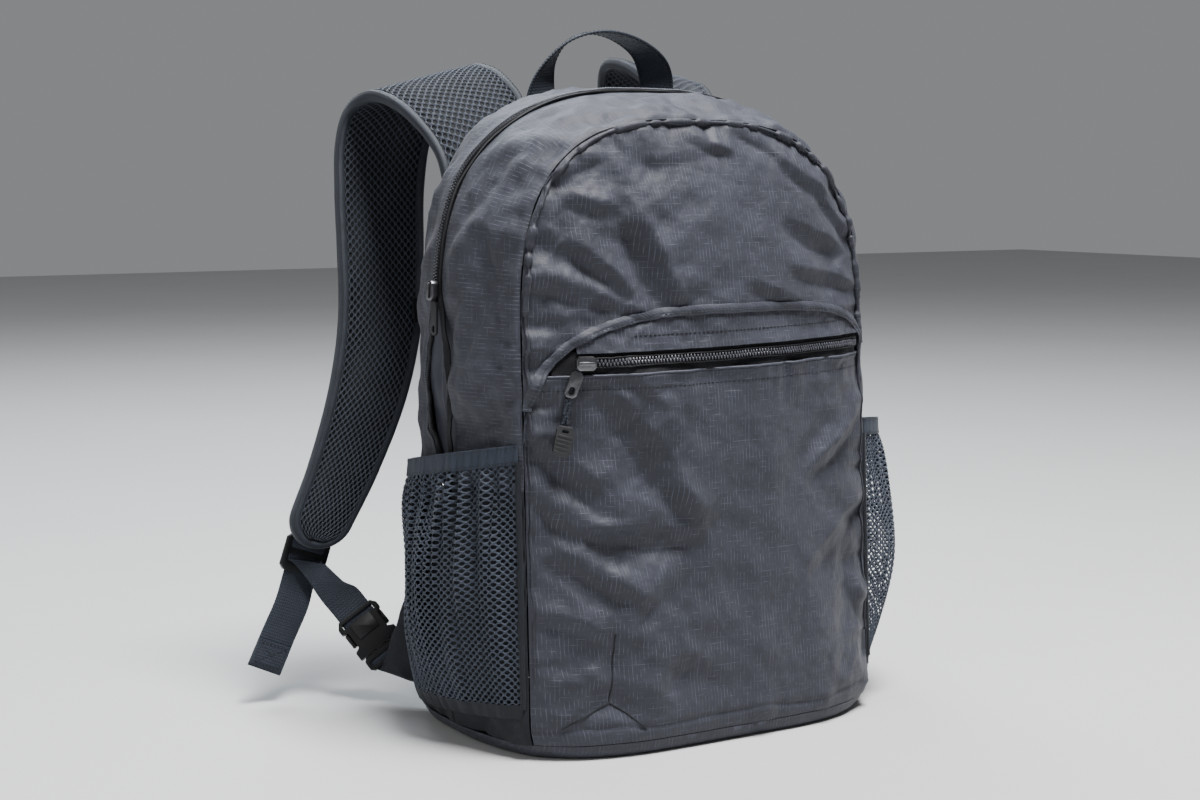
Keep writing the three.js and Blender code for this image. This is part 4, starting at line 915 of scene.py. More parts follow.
def make_gussets():
    st = stations(0, 1, 380)
    depth, zip_line = depth_of(st), main_zip_v(st)
    before = zip_line - (tape_half(st) + gape(st, -1) + SEAM) / depth
    after = zip_line + (tape_half(st) + gape(st, 1) + SEAM) / depth
    parts = gusset_cloth(st, 0.5 / depth, before, 36)
    parts.append((arch_roll(), back_look))
    piece("gusset_front_cloth", ["gusset_front"], parts)
    piece("gusset_rear_cloth", ["gusset_rear"], gusset_cloth(st, after, 1 - 2.0 / depth, 30))


def left_share(height):
    """Where along the arch its level reaches a height, on the left."""
    t = np.linspace(0, 0.5, 2001)
    return np.interp(height, level_of(station(t)), t)


def make_main_zip():
    foot, closed = left_share(ZIP_FOOT), left_share(ZIP_OPEN_TO)
    count = 360
    st = stations(foot, 1 - foot, count)
    opened = slice(2, int(count * (closed - foot) / (1 - 2 * foot)))
    for side, name in ((-1, "front"), (1, "rear")):
        inner, outer = gape(st, side) + 0.2, gape(st, side) + TAPE
        w = side * mix(inner, outer, np.linspace(0, 1, 7)[None])
        p, _ = gusset_grid(st, main_zip_v(st) + w / depth_of(st))
        parts = [(shell(p, 1.0, -1.5), tape_look)]
        parts.append((teeth(*grid_line(p[opened], 0, -0.4), -side, 2.6, 1.5, 1.6), dark_teeth_look))
        if side > 0:
            parts.append((open_flap(foot, closed), lining_look))
        piece(f"main_zip_tape_{name}_weave", [f"main_zip_tape_{name}"], parts)

    st = stations(closed, 1 - foot, count)
    w = 5 * (np.linspace(0, 1, 7)[None] - 0.5)
    p, _ = gusset_grid(st, main_zip_v(st) + w / depth_of(st))
    parts = [(shell(p, 1.5, -0.1), coil_look)]
    parts += [(teeth(*grid_line(p, 3, 1.3), side, 2.6, 2.0, 1.5), dark_teeth_look) for side in (-1, 1)]
    parts += [(tube(grid_line(p, k, 1.4)[0], 0.6, 6), coil_look) for k in (0, 6)]
    piece("main_zip_coil_teeth", ["main_zip_coil"], parts)


def open_flap(foot, closed):
    """Inner cloth that shows between the two open edges of the main zip."""
    st = stations(foot, closed, 90)
    s = np.linspace(0, 1, 16)[None]
    w = mix(-gape(st, -1) - 2, gape(st, 1) + 2.5, s)
    p = gusset(st, main_zip_v(st) + w / depth_of(st))
    level = level_of(st)
    fold = 2.2 * np.exp(-((s - 0.42) / 0.1) ** 2) - 1.6 * np.exp(-((s - 0.55) / 0.09) ** 2)
    sunk = -mix(9.5, 3.2, s ** 0.6) + fold + 1.0 * crumple(level, 30 * s, 61, 26, 5)
    return shell(p + normals(p) * sunk[..., None], 0.8, -0.8)


def make_back_panel():
    a = np.sin((0.5 - np.linspace(0, 1, 96)) * math.pi)[:, None]
    q = (1 - np.abs(a) ** ARCH_POWER) ** (1 / ARCH_POWER)
    top = SHOULDER + (BACK_TOP - SHOULDER) * q
    z = mix(WALL_FOOT, top, spaced(84)[None])
    x = a * BACK_HALF
    tied = np.minimum(1, (1 - edge_share(a, z, BACK_TOP)) * 9)
    relief = (1.8 * crumple(x, z, 71, 60, 6) + 0.8 * crumple(x, z, 73, 26, 6)) * tied
    relief = np.minimum(relief, 1.2)
    p = back(a, z) + np.array([0, 1.0, 0]) * relief[..., None]
    piece("back_panel_cloth", ["back_panel"], [(shell(p, CLOTH, -CLOTH, (x, z)), back_look)])


def body_loop(z):
    """The loop round all four walls at a height."""
    wide, deep = 70, 30
    turn, at = np.arange(wide) / wide, np.full(wide, float(z))
    v, level = np.arange(deep) / deep, np.full(deep, float(z))
    return np.concatenate([
        front(np.sin((turn - 0.5) * math.pi), at), gusset(side_station(1, level), v),
        back(np.sin((0.5 - turn) * math.pi), at), gusset(side_station(-1, level), 1 - v),
    ])


# The base's outline in loops, from the floor inside over the rim to the underside: the height at which
# the walls give the loop, how far it lies inside them, and its own height.
BASE_LOOPS = [
    (0, 9, 1.5), (3, 2.5, 3.6), (BASE_TOP, 1.5, BASE_TOP), (BASE_TOP, 0.1, BASE_TOP), (7, -0.3, 7),
    (4.6, 0.1, 4.6), (2.5, 0.8, 2.5), (1, 2.6, 0.9), (0, 6, 0),
]


def make_base():
    def ring(z, inset, level):
        loop = body_loop(z)
        length = np.hypot(loop[:, 0], loop[:, 1])[:, None]
        loop = loop * (length - inset) / length
        loop[:, 2] = level
        return loop

    def shrunk(level, share):
        loop = foot * share
        loop[:, 2] = level
        return loop

    foot = body_loop(0)
    wave = 0.5 * crumple(foot[:, 0], foot[:, 1], 81, 40, 5)
    rings = [shrunk(1.5, 0.02)] + [ring(*row) for row in BASE_LOOPS] + [shrunk(0, 0.6), shrunk(0, 0.02)]
    for loop in rings[4:8]:
        loop[:, :2] *= 1 + wave[:, None] / 130
    loops = np.array(rings)
    piece("base_cloth", ["base_tray"], [(loft(loops, loops[..., :2]), cloth_look)])


# Nets

def sampler(p):
    """Points and normals of a grid, at any shares of its rows and columns."""
    n = normals(p)
    rows, columns = p.shape[:2]

    def at(u, v):
        x, y = np.clip(u, 0, 1) * (rows - 1), np.clip(v, 0, 1) * (columns - 1)
        i, j = np.minimum(x.astype(int), rows - 2), np.minimum(y.astype(int), columns - 2)
        fx, fy = (x - i)[..., None], (y - j)[..., None]
        blend = lambda g: mix(mix(g[i, j], g[i + 1, j], fx), mix(g[i, j + 1], g[i + 1, j + 1], fx), fy)
        return blend(p), unit(blend(n))

    return at


CELL_RING = np.array([
    (1, 0), (0.5, 0.5), (0, 1), (-0.5, 0.5), (-1, 0), (-0.5, -0.5), (0, -1), (0.5, -0.5),
])


def net(p, pitch, hole, crown, lift=0.0):
    """A net of rhombic cells over a grid of points, as knitted strands round its holes."""
    at = sampler(p)
    wide, high = lengths(p[:, p.shape[1] // 2])[-1], lengths(p[p.shape[0] // 2])[-1]
    nu, nv = max(2, round(wide / pitch[0])), max(2, round(high / pitch[1]))
    ci, cj = np.meshgrid(np.arange(2 * nu + 1), np.arange(2 * nv + 1), indexing="ij")
    even = (ci + cj) % 2 == 0
    centre = np.stack([ci[even], cj[even]], -1).astype(float)
    angle = np.arctan2(CELL_RING[:, 1], CELL_RING[:, 0])
    inner = np.stack([hole[0] * np.cos(angle), hole[1] * np.sin(angle)], -1)
    size = np.array([2 * nu, 2 * nv])
    outer_uv = np.clip((centre[:, None] + CELL_RING) / size, 0, 1)
    inner_uv = np.clip((centre[:, None] + inner) / size, 0, 1)
    top, out = at(outer_uv[..., 0], outer_uv[..., 1])
    hole_at, hole_out = at(inner_uv[..., 0], inner_uv[..., 1])
    rings = [top + out * (lift + crown), top + out * (lift - crown), hole_at + hole_out * lift]
    points = np.stack(rings, 1).reshape(-1, 3)
    base = (np.arange(len(centre)) * 24)[:, None]
    k = np.arange(8)[None]
    turn = (k + 1) % 8
    front_side = np.stack([base + k, base + turn, base + 16 + turn, base + 16 + k], -1).reshape(-1, 4)
    back_side = np.stack([base + 8 + k, base + 16 + k, base + 16 + turn, base + 8 + turn], -1).reshape(-1, 4)
    faces = np.concatenate([front_side, back_side])
    a, b, c, d = (points[faces[:, k]] for k in range(4))
    area = np.linalg.norm(np.cross(c - a, d - b), axis=1)
    return points, [faces[area > 0.02]], points[:, (1, 2)]


def even_shares(curve, count):
    """Shares evenly spaced by length along a curve given at evenly spaced shares."""
    run = lengths(curve)
    return np.interp(np.linspace(0, run[-1], count), run, np.linspace(0, 1, len(curve)))


def make_side_pocket(side, name):
    from_rear = side < 0
    shares = np.linspace(0, 1, 200)
    level_line = side_pocket(side, 1 - shares if from_rear else shares, np.full(len(shares), 0.6))
    across = even_shares(level_line, 120)
    across = 1 - across if from_rear else across
    height = mix(POCKET_RIM[0] - POCKET_FOOT[0], POCKET_RIM[1] - POCKET_FOOT[1], across)[:, None]
    u = across[:, None]

    def strip_of(low, high, count):
        v = mix(low, high, np.linspace(0, 1, count)[None])
        p = side_pocket(side, *np.broadcast_arrays(u, v))
        drop = np.maximum(0, (1 - v) * height - BAND)
        pleats = noise(u * 26, drop / 90, 51) - 0.5 + 0.5 * (noise(u * 55, drop / 60, 52) - 0.5)
        gather = pleats * (1.2 + 12 * (drop / 20) * np.exp(1 - drop / 20) * 0.75)
        gather = gather + (noise(u * 12, v * 3, 53) - 0.5) * 6.0 * np.sin(math.pi * np.clip(v, 0, 1))
        tied = np.minimum(1, np.minimum(u, 1 - u) * 12)
        return p + normals(p) * (gather * tied)[..., None]

    rim = 1 - BAND / height
    hem = 9 / height
    cloth = strip_of(0 * hem, hem, 6)
    mesh = strip_of(0.7 * hem, rim + 1.5 / height, 110)
    hole = (0.57, 0.55) if side < 0 else (0.46, 0.44)
    parts = [(net(mesh, (6.0, 4.7), hole, 0.5, POCKET_LIFT + 0.7), net_look)]
    parts.append((shell(cloth, 1.2, POCKET_LIFT), wing_look))
    # A sheet of the dark wing cloth just under the rear part of the net: painted shade seen through the net
    # there
    rear = slice(0, 42) if from_rear else slice(-42, None)
    parts.append((shell(mesh[rear], 0.8, POCKET_LIFT - 0.9), wing_look))
    for k in (0, -1):
        parts.append((tube(grid_line(mesh, k, POCKET_LIFT + 0.6, axis=0)[0], 2.0, 8), wing_look))
    piece(f"side_pocket_net_{name}", [f"side_pocket_mesh_{name}"], parts)

    band = strip_of(rim, 1 + 0 * rim, 9)
    parts = [(shell(band, 1.6, POCKET_LIFT), grosgrain_look)]
    for k in (1, -2):
        sewn = grid_line(band, k, POCKET_LIFT + 1.6)
        parts.append((stitches(*sewn, 3.0, 2.2, 0.5), dark_thread_look))
    piece(f"side_pocket_band_weave_{name}", [f"side_pocket_band_{name}"], parts)


# Straps and webbing

class Curve:
    """A smooth curve through points."""

    def __init__(self, points):
        points = np.array(points, float)
        self.count = len(points) - 1
        self.points = np.vstack([2 * points[0] - points[1], points, 2 * points[-1] - points[-2]])

    def at(self, t):
        place = np.asarray(t, float) * self.count
        i = np.clip(np.floor(place).astype(int), 0, self.count - 1)
        w = (place - i)[..., None]
        p0, p1, p2, p3 = (self.points[i + k] for k in range(4))
        gap = lambda a, b: (((a - b) ** 2).sum(-1, keepdims=True)) ** 0.25
        d0, d1, d2 = gap(p0, p1), gap(p1, p2), gap(p2, p3)
        d1 = np.where(d1 < 1e-4, 1, d1)
        d0, d2 = np.where(d0 < 1e-4, d1, d0), np.where(d2 < 1e-4, d1, d2)
        t1 = ((p1 - p0) / d0 - (p2 - p0) / (d0 + d1) + (p2 - p1) / d1) * d1
        t2 = ((p2 - p1) / d1 - (p3 - p1) / (d1 + d2) + (p3 - p2) / d2) * d1
        return (p1 + t1 * w + (3 * (p2 - p1) - 2 * t1 - t2) * w ** 2
                + (2 * (p1 - p2) + t1 + t2) * w ** 3)


class Strip:
    """A soft strip through rows of centre, direction of its width, and width."""

    def __init__(self, rows):
        self.centre = Curve([row[0] for row in rows])
        self.side = Curve([row[1] for row in rows])
        self.width = Curve([(row[2], 40 * i, 0) for i, row in enumerate(rows)])
        self.t = np.linspace(0, 1, 401)
        self.run = lengths(self.centre.at(self.t))
        self.length = self.run[-1]

    def share(self, l):
        return np.interp(np.clip(l, 0, self.length), self.run, self.t)

    def wide(self, l):
        return self.width.at(self.share(l))[..., 0]

    def place(self, l, w, h):
        l, w, h = (v.astype(float) for v in np.broadcast_arrays(l, w, h))
        t = self.share(l)
        step = 1e-4
        tangent = unit(self.centre.at(np.minimum(t + step, 1)) - self.centre.at(np.maximum(t - step, 0)))
        across = unit(self.side.at(t))
        off = unit(np.cross(tangent, across))
        spare = (l - np.clip(l, 0, self.length))[..., None]
        return self.centre.at(t) + tangent * spare + across * w[..., None] + off * h[..., None]


def webbing(rows, ease=0.0):
    """Flat webbing through rows, with rounded edges."""
    run = Strip(rows)
    step = 1.6
    l = np.arange(0, run.length + step / 2, step)[:, None]
    half = run.wide(l) / 2
    w = np.array([-1, -0.985, -0.9, -0.45, 0, 0.45, 0.9, 0.985])
    w = np.concatenate([w, -w])[None]
    up = np.array([0, -0.7, -1, -0.96, -0.94, -0.96, -1, -0.7])
    up = np.concatenate([up, -up])[None]
    slack = ease * (noise(l / 23, 0, 6) - 0.5)
    loops = run.place(l, w * half, up * WEBBING_WALL / 2 + slack)
    places = np.stack(np.broadcast_arrays(w * half, l), -1)
    return loft(loops, places), run


def stitched(run, l, w, h, **sizes):
    """Stitches along a strip at given places along it, across it and off its face."""
    l, w, h = np.broadcast_arrays(l, w, h)
    path = run.place(l, w, h)
    return stitches(path, unit(run.place(l, w, h + np.sign(h)) - path), **sizes)


def box_stitch(run, low, high, half, h):
    """A sewn box with its two diagonals."""
    corners = [(low, -half), (high, -half), (high, half), (low, half), (low, -half)]
    lines = list(zip(corners, corners[1:])) + [(corners[0], corners[2]), (corners[1], corners[3])]
    s = np.linspace(0, 1, 12)
    return joined([stitched(run, mix(l0, l1, s), mix(w0, w1, s), h, pitch=2.6, length=1.9, width=0.5)
                   for (l0, w0), (l1, w1) in lines])


# A strap's row: across, out and up, the direction of its width, and its width.
STRAP_CRESTS = {
    -1: [
        (0.699, 0.003, 0.903, (0.78, 0, -0.62), 1.14), (0.692, 0.075, 0.941, (0.86, 0.03, -0.52), 1.15),
        (0.722, 0.232, 0.979, (0.89, 0.08, -0.45), 1.14), (0.759, 0.479, 1.01, (0.93, 0.15, -0.32), 1.17),
        (0.782, 0.77, 1.017, (0.94, 0.2, -0.24), 1.2), (0.835, 0.974, 0.986, (0.97, 0.14, -0.14), 1.17),
        (0.887, 1.042, 0.926, (1, 0.06, -0.04), 1.09), (0.925, 0.994, 0.841, (1, 0.02, 0), 1.03),
        (0.955, 0.878, 0.736, (1, 0, 0), 1),
    ],
    1: [
        (0.609, 0, 0.903, (0.78, 0, -0.63), 1.06), (0.617, 0.075, 0.943, (0.84, 0.03, -0.54), 1.11),
        (0.624, 0.244, 0.988, (0.89, -0.03, -0.45), 1.12), (0.632, 0.503, 1.031, (0.94, -0.15, -0.3), 1.15),
        (0.647, 0.745, 1.04, (0.96, -0.2, -0.2), 1.18), (0.699, 0.928, 1.005, (0.98, -0.14, -0.1), 1.15),
        (0.774, 0.995, 0.941, (1, -0.05, 0), 1.09), (0.857, 0.96, 0.846, (1, 0, 0), 1.03),
        (0.932, 0.864, 0.736, (1, 0, 0), 1),
    ],
}
STRAP_HANG = [
    (0.992, 0.778, 0.622, (1, 0, 0), 0.97), (1.083, 0.715, 0.504, (1, 0, 0.1), 0.91),
    (1.233, 0.69, 0.38, (0.97, 0, 0.25), 0.79), (1.353, 0.674, 0.304, (0.94, 0, 0.34), 0.71),
]


def strap_rows(side):
    rows = []
    for across, out, up, turn, wide in STRAP_CRESTS[side] + STRAP_HANG:
        z = up * BAG_HEIGHT
        y = back(across, z)[1] + PAD / 2 + SEAM + out * STRAP_REACH
        rows.append(((side * across * BACK_HALF, y, z), (side * turn[0], turn[1], turn[2]),
                     wide * STRAP_WIDTH))
    return rows


def pad_half(run, l):
    """Half the width of a strap's padded middle, up to its rounded end."""
    full = run.wide(l) / 2 - TRIM + UNDER_TRIM
    over = np.clip((l - run.length) / (run.wide(run.length) / 2 - TRIM + UNDER_TRIM), 0, 1)
    return full * np.sqrt(np.maximum(0.004, 1 - over ** 2))


def sign_power(value, power):
    """A power of a value's size, with its sign."""
    return np.sign(value) * np.abs(value) ** power


def make_strap(side, name):
    run = Strip(strap_rows(side))
    l = np.arange(0, run.length + 1, 3.0)
    reach = run.length + run.wide(run.length) / 2 - TRIM + UNDER_TRIM - 0.6
    l = np.concatenate([l[l < run.length - 1], np.linspace(run.length, reach, 14)])[:, None]
    half = pad_half(run, l)
    angle = np.linspace(0, 2 * math.pi, 33)[:-1]
    w = sign_power(np.cos(angle), 0.35)[None]
    up = sign_power(np.sin(angle), 0.55)[None]
    puff = lambda l, w, drop: 1 + 0.22 * (noise(l / 26, w * 2, 4 + side) - 0.5) - drop * np.abs(w) ** 3
    loops = run.place(l, w * half, up * (PAD / 2 - 0.7) * puff(l, w, 0.12))
    places = np.stack(np.broadcast_arrays(w * half, l), -1)
    parts = [(loft(loops, places), foam_look)]
    l, w = np.linspace(1.5, reach - 0.8, 170)[:, None], np.linspace(-1, 1, 15)[None]
    for face in (-1, 1):
        p = run.place(l, face * w * pad_half(run, l), face * ((PAD / 2 - 0.6) * puff(l, w, 0.16)))
        parts.append((net(p, (5.9, 4.9), (0.66, 0.52), 0.42, 0.3), air_look))
    strap = piece(f"shoulder_strap_pad_{name}", [f"shoulder_strap_{name}"], parts)
    make_strap_trim(run, name)
    return run


def make_strap_trim(run, name):
    half = TRIM / 2
    steps = np.arange(0, run.length, 3.0)
    round_end = run.wide(run.length) / 2 - half
    edge = run.wide(steps) / 2 - half
    turn = np.linspace(0, math.pi, 26)
    path = np.concatenate([
        np.stack([steps, edge], -1),
        np.stack([run.length + round_end * np.sin(turn), round_end * np.cos(turn)], -1),
        np.stack([steps, -edge], -1)[::-1],
    ])
    ahead = unit(np.gradient(path, axis=0))
    aside = np.stack([-ahead[:, 1], ahead[:, 0]], -1)
    sides = 14
    angle = np.arange(sides) * 2 * math.pi / sides
    k = half * sign_power(np.cos(angle), 0.7)[None]
    up = (PAD / 2 - 0.35) * sign_power(np.sin(angle), 0.75)[None]
    ripple = 1 + 0.1 * (noise(np.arange(len(path)) / 2.2, 0, 7) - 0.5)[:, None]
    loops = run.place(path[:, :1] + aside[:, :1] * k, path[:, 1:] + aside[:, 1:] * k, up * ripple)
    places = np.stack(np.broadcast_arrays(up + k, lengths(path)[:, None]), -1)
    parts = [(loft(loops, places), binding_look)]
    inner = path + aside * half * 0.62
    for face in (-1, 1):
        spine = run.place(inner[:, 0], inner[:, 1], face * (PAD / 2 - 1.35))
        out = unit(run.place(inner[:, 0], inner[:, 1], face * PAD) - spine)
        parts.append((stitches(spine + out * 0.5, out, 3.0, 2.2, 0.5), dark_thread_look))
    piece(f"strap_trim_fold_{name}", [f"strap_trim_{name}"], parts)


# The handle's rows: across, out and up, and the direction of its width.
HANDLE = [
    (-0.978, 0.021, -0.212, (1, 0, 0.1)), (-0.989, 0.116, 0.019, (1, 0.05, 0.12)),
    (-0.978, 0.176, 0.231, (0.95, 0.25, 0.1)), (-0.848, 0.196, 0.558, (0.75, 0.6, 0.1)),
    (-0.522, 0.156, 0.865, (0.4, 0.9, 0)), (-0.043, 0.116, 1, (0.05, 1, 0)),
    (0.478, 0.116, 0.923, (-0.3, 1, 0)), (0.935, 0.176, 0.673, (-0.75, 0.7, 0.1)),
    (1.065, 0.196, 0.327, (-1, 0.3, 0.1)), (1.011, 0.136, 0.019, (-1, 0.05, 0.05)),
    (0.957, 0.015, -0.212, (-1, 0, 0.05)),
]


def make_handle():
    rows = []
    for across, out, up, turn in HANDLE:
        x, z = HANDLE_SHIFT + across * HANDLE_SPAN / 2, BACK_TOP + up * HANDLE_RISE
        y = back(x / BACK_HALF, min(z, BACK_TOP))[1] + WEBBING_WALL / 2 + SEAM
        rows.append(((x, y + out * WEBBING, z), turn, WEBBING))
    part, run = webbing(rows)
    parts = [(part, webbing_look)]
    l = np.linspace(14, run.length - 14, 60)
    for side in (-1, 1):
        for face in (1, -1):
            parts.append((stitched(run, l, side * 10.6, face * WEBBING_WALL / 2), dark_thread_look))
    piece("grab_handle_webbing", ["grab_handle"], parts)


# Hard parts, each taken from its solid

def local_axes(name, lengthways=None):
    """A flat solid's middle, its own directions (across, along, out) and half its sizes along them."""
    verts = np.array([v.co[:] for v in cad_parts[name].data.vertices]) / MM
    middle = (verts.min(0) + verts.max(0)) / 2
    spread = verts - verts.mean(0)
    _, axes = np.linalg.eigh(spread.T @ spread)
    out = axes[:, 0]
    along = axes[:, 2] if lengthways is None else unit(lengthways - out * (out @ lengthways))
    along = along if along[2] > 0 else -along
    out = out if out @ np.array([middle[0], middle[1], 0]) > 0 else -out
    directions = (np.cross(along, out), along, out)
    half = []
    for axis in directions:
        run = verts @ axis
        middle = middle + axis * ((run.min() + run.max()) / 2 - middle @ axis)
        half.append((run.max() - run.min()) / 2)
    return middle, directions, half


def rounded(name, made_name, look, width=0.5, extra=()):
    """The solid with its edges rounded, and with added parts."""
    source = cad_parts[name]
    solid = bmesh.new()
    solid.from_mesh(source.data)
    bmesh.ops.remove_doubles(solid, verts=solid.verts, dist=0.02 * MM)
    bmesh.ops.dissolve_limit(solid, angle_limit=math.radians(4), verts=solid.verts, edges=solid.edges)
    edges = [e for e in solid.edges if len(e.link_faces) == 2 and e.calc_face_angle() > math.radians(25)]
    bmesh.ops.bevel(solid, geom=edges, offset=width * MM, segments=2, profile=0.6, affect="EDGES",
                    clamp_overlap=True)
    bmesh.ops.triangulate(solid, faces=solid.faces)
    points = np.array([v.co[:] for v in solid.verts]) / MM
    solid.verts.index_update()
    faces = np.array([[v.index for v in f.verts] for f in solid.faces])
    solid.free()
    part = (points, [faces], points[:, (0, 2)])
    piece(made_name, [name], [(part, look), *extra], sharp=40)


# The corners of a block's outline, seen from above, each cut off: which of its two ends comes first
CUT_CORNERS = [(-1, -1, (0, 1)), (1, -1, (1, 0)), (1, 1, (0, 1)), (-1, 1, (1, 0))]


def slab(name, boxes, lengthways=None):
    """Rounded blocks on a solid's own axes: each its middle and its half sizes, across, along and out."""
    middle, (across, along, out), _ = local_axes(name, lengthways)
    parts = []
    for at, half in boxes:
        cut = 0.35 * min(half)
        loops = []
        for inset, level in ((cut, -half[2]), (0, cut - half[2]), (0, half[2] - cut), (cut, half[2])):
            base = middle + out * (at[2] + level)
            loops.append([base + across * (at[0] + sx * (half[0] - inset - cut * k))
                          + along * (at[1] + sy * (half[1] - inset - cut * (1 - k)))
                          for sx, sy, order in CUT_CORNERS for k in order])
        parts.append(loft(loops))
    return joined(parts)


def make_slider(name, made_name, height, share):
    """A zip's slider with the bridge that its tab hangs on."""
    half = local_axes(name)[2]
    bridge = slab(name, [((0, 0, half[2] + height), (1.1, half[1] * share, height))])
    rounded(name, made_name, metal_look, 0.9, [(bridge, metal_look)])


def make_pocket_slider():
    make_slider("pocket_zip_slider", "pocket_zip_slider_body", 0.9, 0.8)
    rounded("pocket_zip_tab", "pocket_zip_tab_plate", metal_look, 0.45)
    middle, (across, along, _), half = local_axes("pocket_pull_cord")
    s = np.linspace(-1, 1, 24)
    strands = []
    for side in (-1, 1):
        path = middle + np.outer(s * half[1], along)
        path = path + np.outer(side * 1.1 + 0.3 * np.sin(6 * s + side), across)
        strands.append((tube(path, 1.3, 8), webbing_look))
    piece("pocket_pull_cord_strands", ["pocket_pull_cord"], strands)
    half = local_axes("pocket_pull_grip")[2]
    ribs = [((0, -half[1] * 0.7 + 2.6 * k, half[2] - 0.1), (half[0] * 0.72, 0.55, 0.5)) for k in range(5)]
    rounded("pocket_pull_grip", "pocket_pull_grip_moulding", rubber_look, 1.2,
            [(slab("pocket_pull_grip", ribs), rubber_look)])


def make_main_sliders():
    for end in ("upper", "lower"):
        make_slider(f"main_zip_slider_{end}", f"main_zip_slider_{end}_body", 0.8, 0.75)
    rounded("main_zip_pull_upper", "main_zip_pull_moulding", rubber_look, 0.5)


# The lock hangs under the end of the left strap's run, and the corner buckle's axis runs from the lower
# webbing to the corner wing. The right ones mirror them.
BUCKLE_AXIS = np.array([0.42, -0.52, -0.74])
BUCKLE_WIDTH = np.array([-0.8, 0.17, -0.57])
PLUG_MIDDLE = np.array([-BACK_HALF - BUCKLE_PLACE[0], REAR_SEAM[0] + BUCKLE_PLACE[1], BUCKLE_PLACE[2]])
LOCK_ACROSS = unit([-0.94, 0, 0.34])
LOCK_UP = unit([0.34, 0.05, 0.94])
TAB_FACE = PAD / 2 + 1.2

left_run = Strip(strap_rows(-1))


def under_strap(along, across, off):
    return left_run.place(left_run.length + along, across, off)


def from_lock(up, off):
    return under_strap(LOCK_DROP, -4, TAB_FACE + 3.8) + LOCK_UP * up + np.array([0, off, 0])


def on_buckle(length):
    return PLUG_MIDDLE + BUCKLE_AXIS * length


def to_side(side):
    return np.array([1 if side < 0 else -1, 1, 1])


def hung(rows, side, ease=0.0):
    """Webbing through the left side's rows, for either side."""
    turn = to_side(side)
    return webbing([(at * turn, np.asarray(across) * turn, WEBBING) for at, across in rows], ease)


def make_lock_tab(side, name):
    tab = [
        (under_strap(-10.8, 1, TAB_FACE), LOCK_ACROSS), (under_strap(4, -1, TAB_FACE + 1.6), LOCK_ACROSS),
        (from_lock(LOCK_HEIGHT / 2 + 0.5, 0), LOCK_ACROSS),
    ]
    part, run = hung(tab, side)
    parts = [(part, webbing_look)]
    w = np.linspace(-10, 10, 9)
    for l in (3.0, 7.0):
        for face in (-1, 1):
            sewn = stitched(run, l, w, face * WEBBING_WALL / 2, pitch=2.4, length=1.8)
            parts.append((sewn, dark_thread_look))
    piece(f"lock_tab_webbing_{name}", [f"lock_tab_{name}"], parts)


# The loose tail under the lock: across, out and up as shares of its length, and its width's direction.
TAIL_ROWS = [
    (0, 0, 0, (-0.94, 0, 0.34)), (-0.11, -0.04, -0.28, (-0.94, 0.1, 0.36)),
    (-0.27, -0.055, -0.59, (-0.92, 0.1, 0.4)), (-0.43, -0.08, -0.9, (-0.91, 0.1, 0.42)),
]


def tail_hem(run, fold):
    """The end of the tail, folded back on itself and thicker."""
    l = np.linspace(fold, run.length - 0.3, 12)[:, None]
    half = 1.15 * (1 - np.exp(-(run.length - l) / 1.2)) + 0.1
    w = np.array([-1, -0.96, 0, 0.96, 1, 0.96, 0, -0.96])[None] * WEBBING / 2 * 0.99
    h = np.array([0, 1, 1, 1, 0, -1, -1, -1])[None]
    return loft(run.place(l, w, h * half - 0.9), np.stack(np.broadcast_arrays(w, l), -1))


def make_tail(side, name):
    top = from_lock(-LOCK_HEIGHT / 2 - 0.4, 0)
    rows = [(top + LOCK_UP * 6, LOCK_ACROSS)]
    rows += [(top + TAIL * np.array([across, out, up]), turn) for across, out, up, turn in TAIL_ROWS]
    part, run = hung(rows, side, ease=1.6)
    fold = run.length - 20
    parts = [(part, webbing_look), (tail_hem(run, fold), webbing_look)]
    for h in (0.3, -2.1):
        parts.append((box_stitch(run, fold + 2.5, run.length - 3, 9.5, h), dark_thread_look))
    piece(f"adjuster_tail_webbing_{name}", [f"adjuster_tail_{name}"], parts)


def make_lower_webbing(side, name):
    start, far = from_lock(-3, -6.4), on_buckle(-46)
    rows = [(start, (-0.92, 0.3, 0.2)), (mix(start, far, 0.45), (-0.9, 0.3, 0.1))]
    rows += [(far, BUCKLE_WIDTH), (on_buckle(-29.6), BUCKLE_WIDTH)]
    part, _ = hung(rows, side, ease=1.2)
    piece(f"adjuster_webbing_weave_{name}", [f"adjuster_webbing_{name}"], [(part, webbing_look)])


def make_hard_part(kind, name, lengthways, edge, raised, loops):
    """A lock or buckle from its solid, with raised parts and the webbing that runs through it."""
    node = f"{kind}_{name}"
    half = local_axes(node, lengthways)[2]
    extra = [(slab(node, raised(half), lengthways), plastic_look)] if raised else []
    extra.append((slab(node, loops(half), lengthways), webbing_look))
    rounded(node, f"{kind}_body_{name}", plastic_look, edge, extra)


def lock_bars(half):
    return [
        ((0, 1.6, half[2] + 0.5), (half[0] * 0.8, 1.9, 0.9)),
        ((0, -9.4, half[2] + 0.4), (half[0] * 0.8, 1.6, 0.8)),
        ((0, 11.2, half[2] + 0.3), (half[0] * 0.7, 1.2, 0.6)),
    ]


def lock_loops(_):
    return [((0, 6.5, 0), (WEBBING / 2, 3.4, 2.4)), ((0, -3.5, 0), (WEBBING / 2, 3.2, 2.5))]


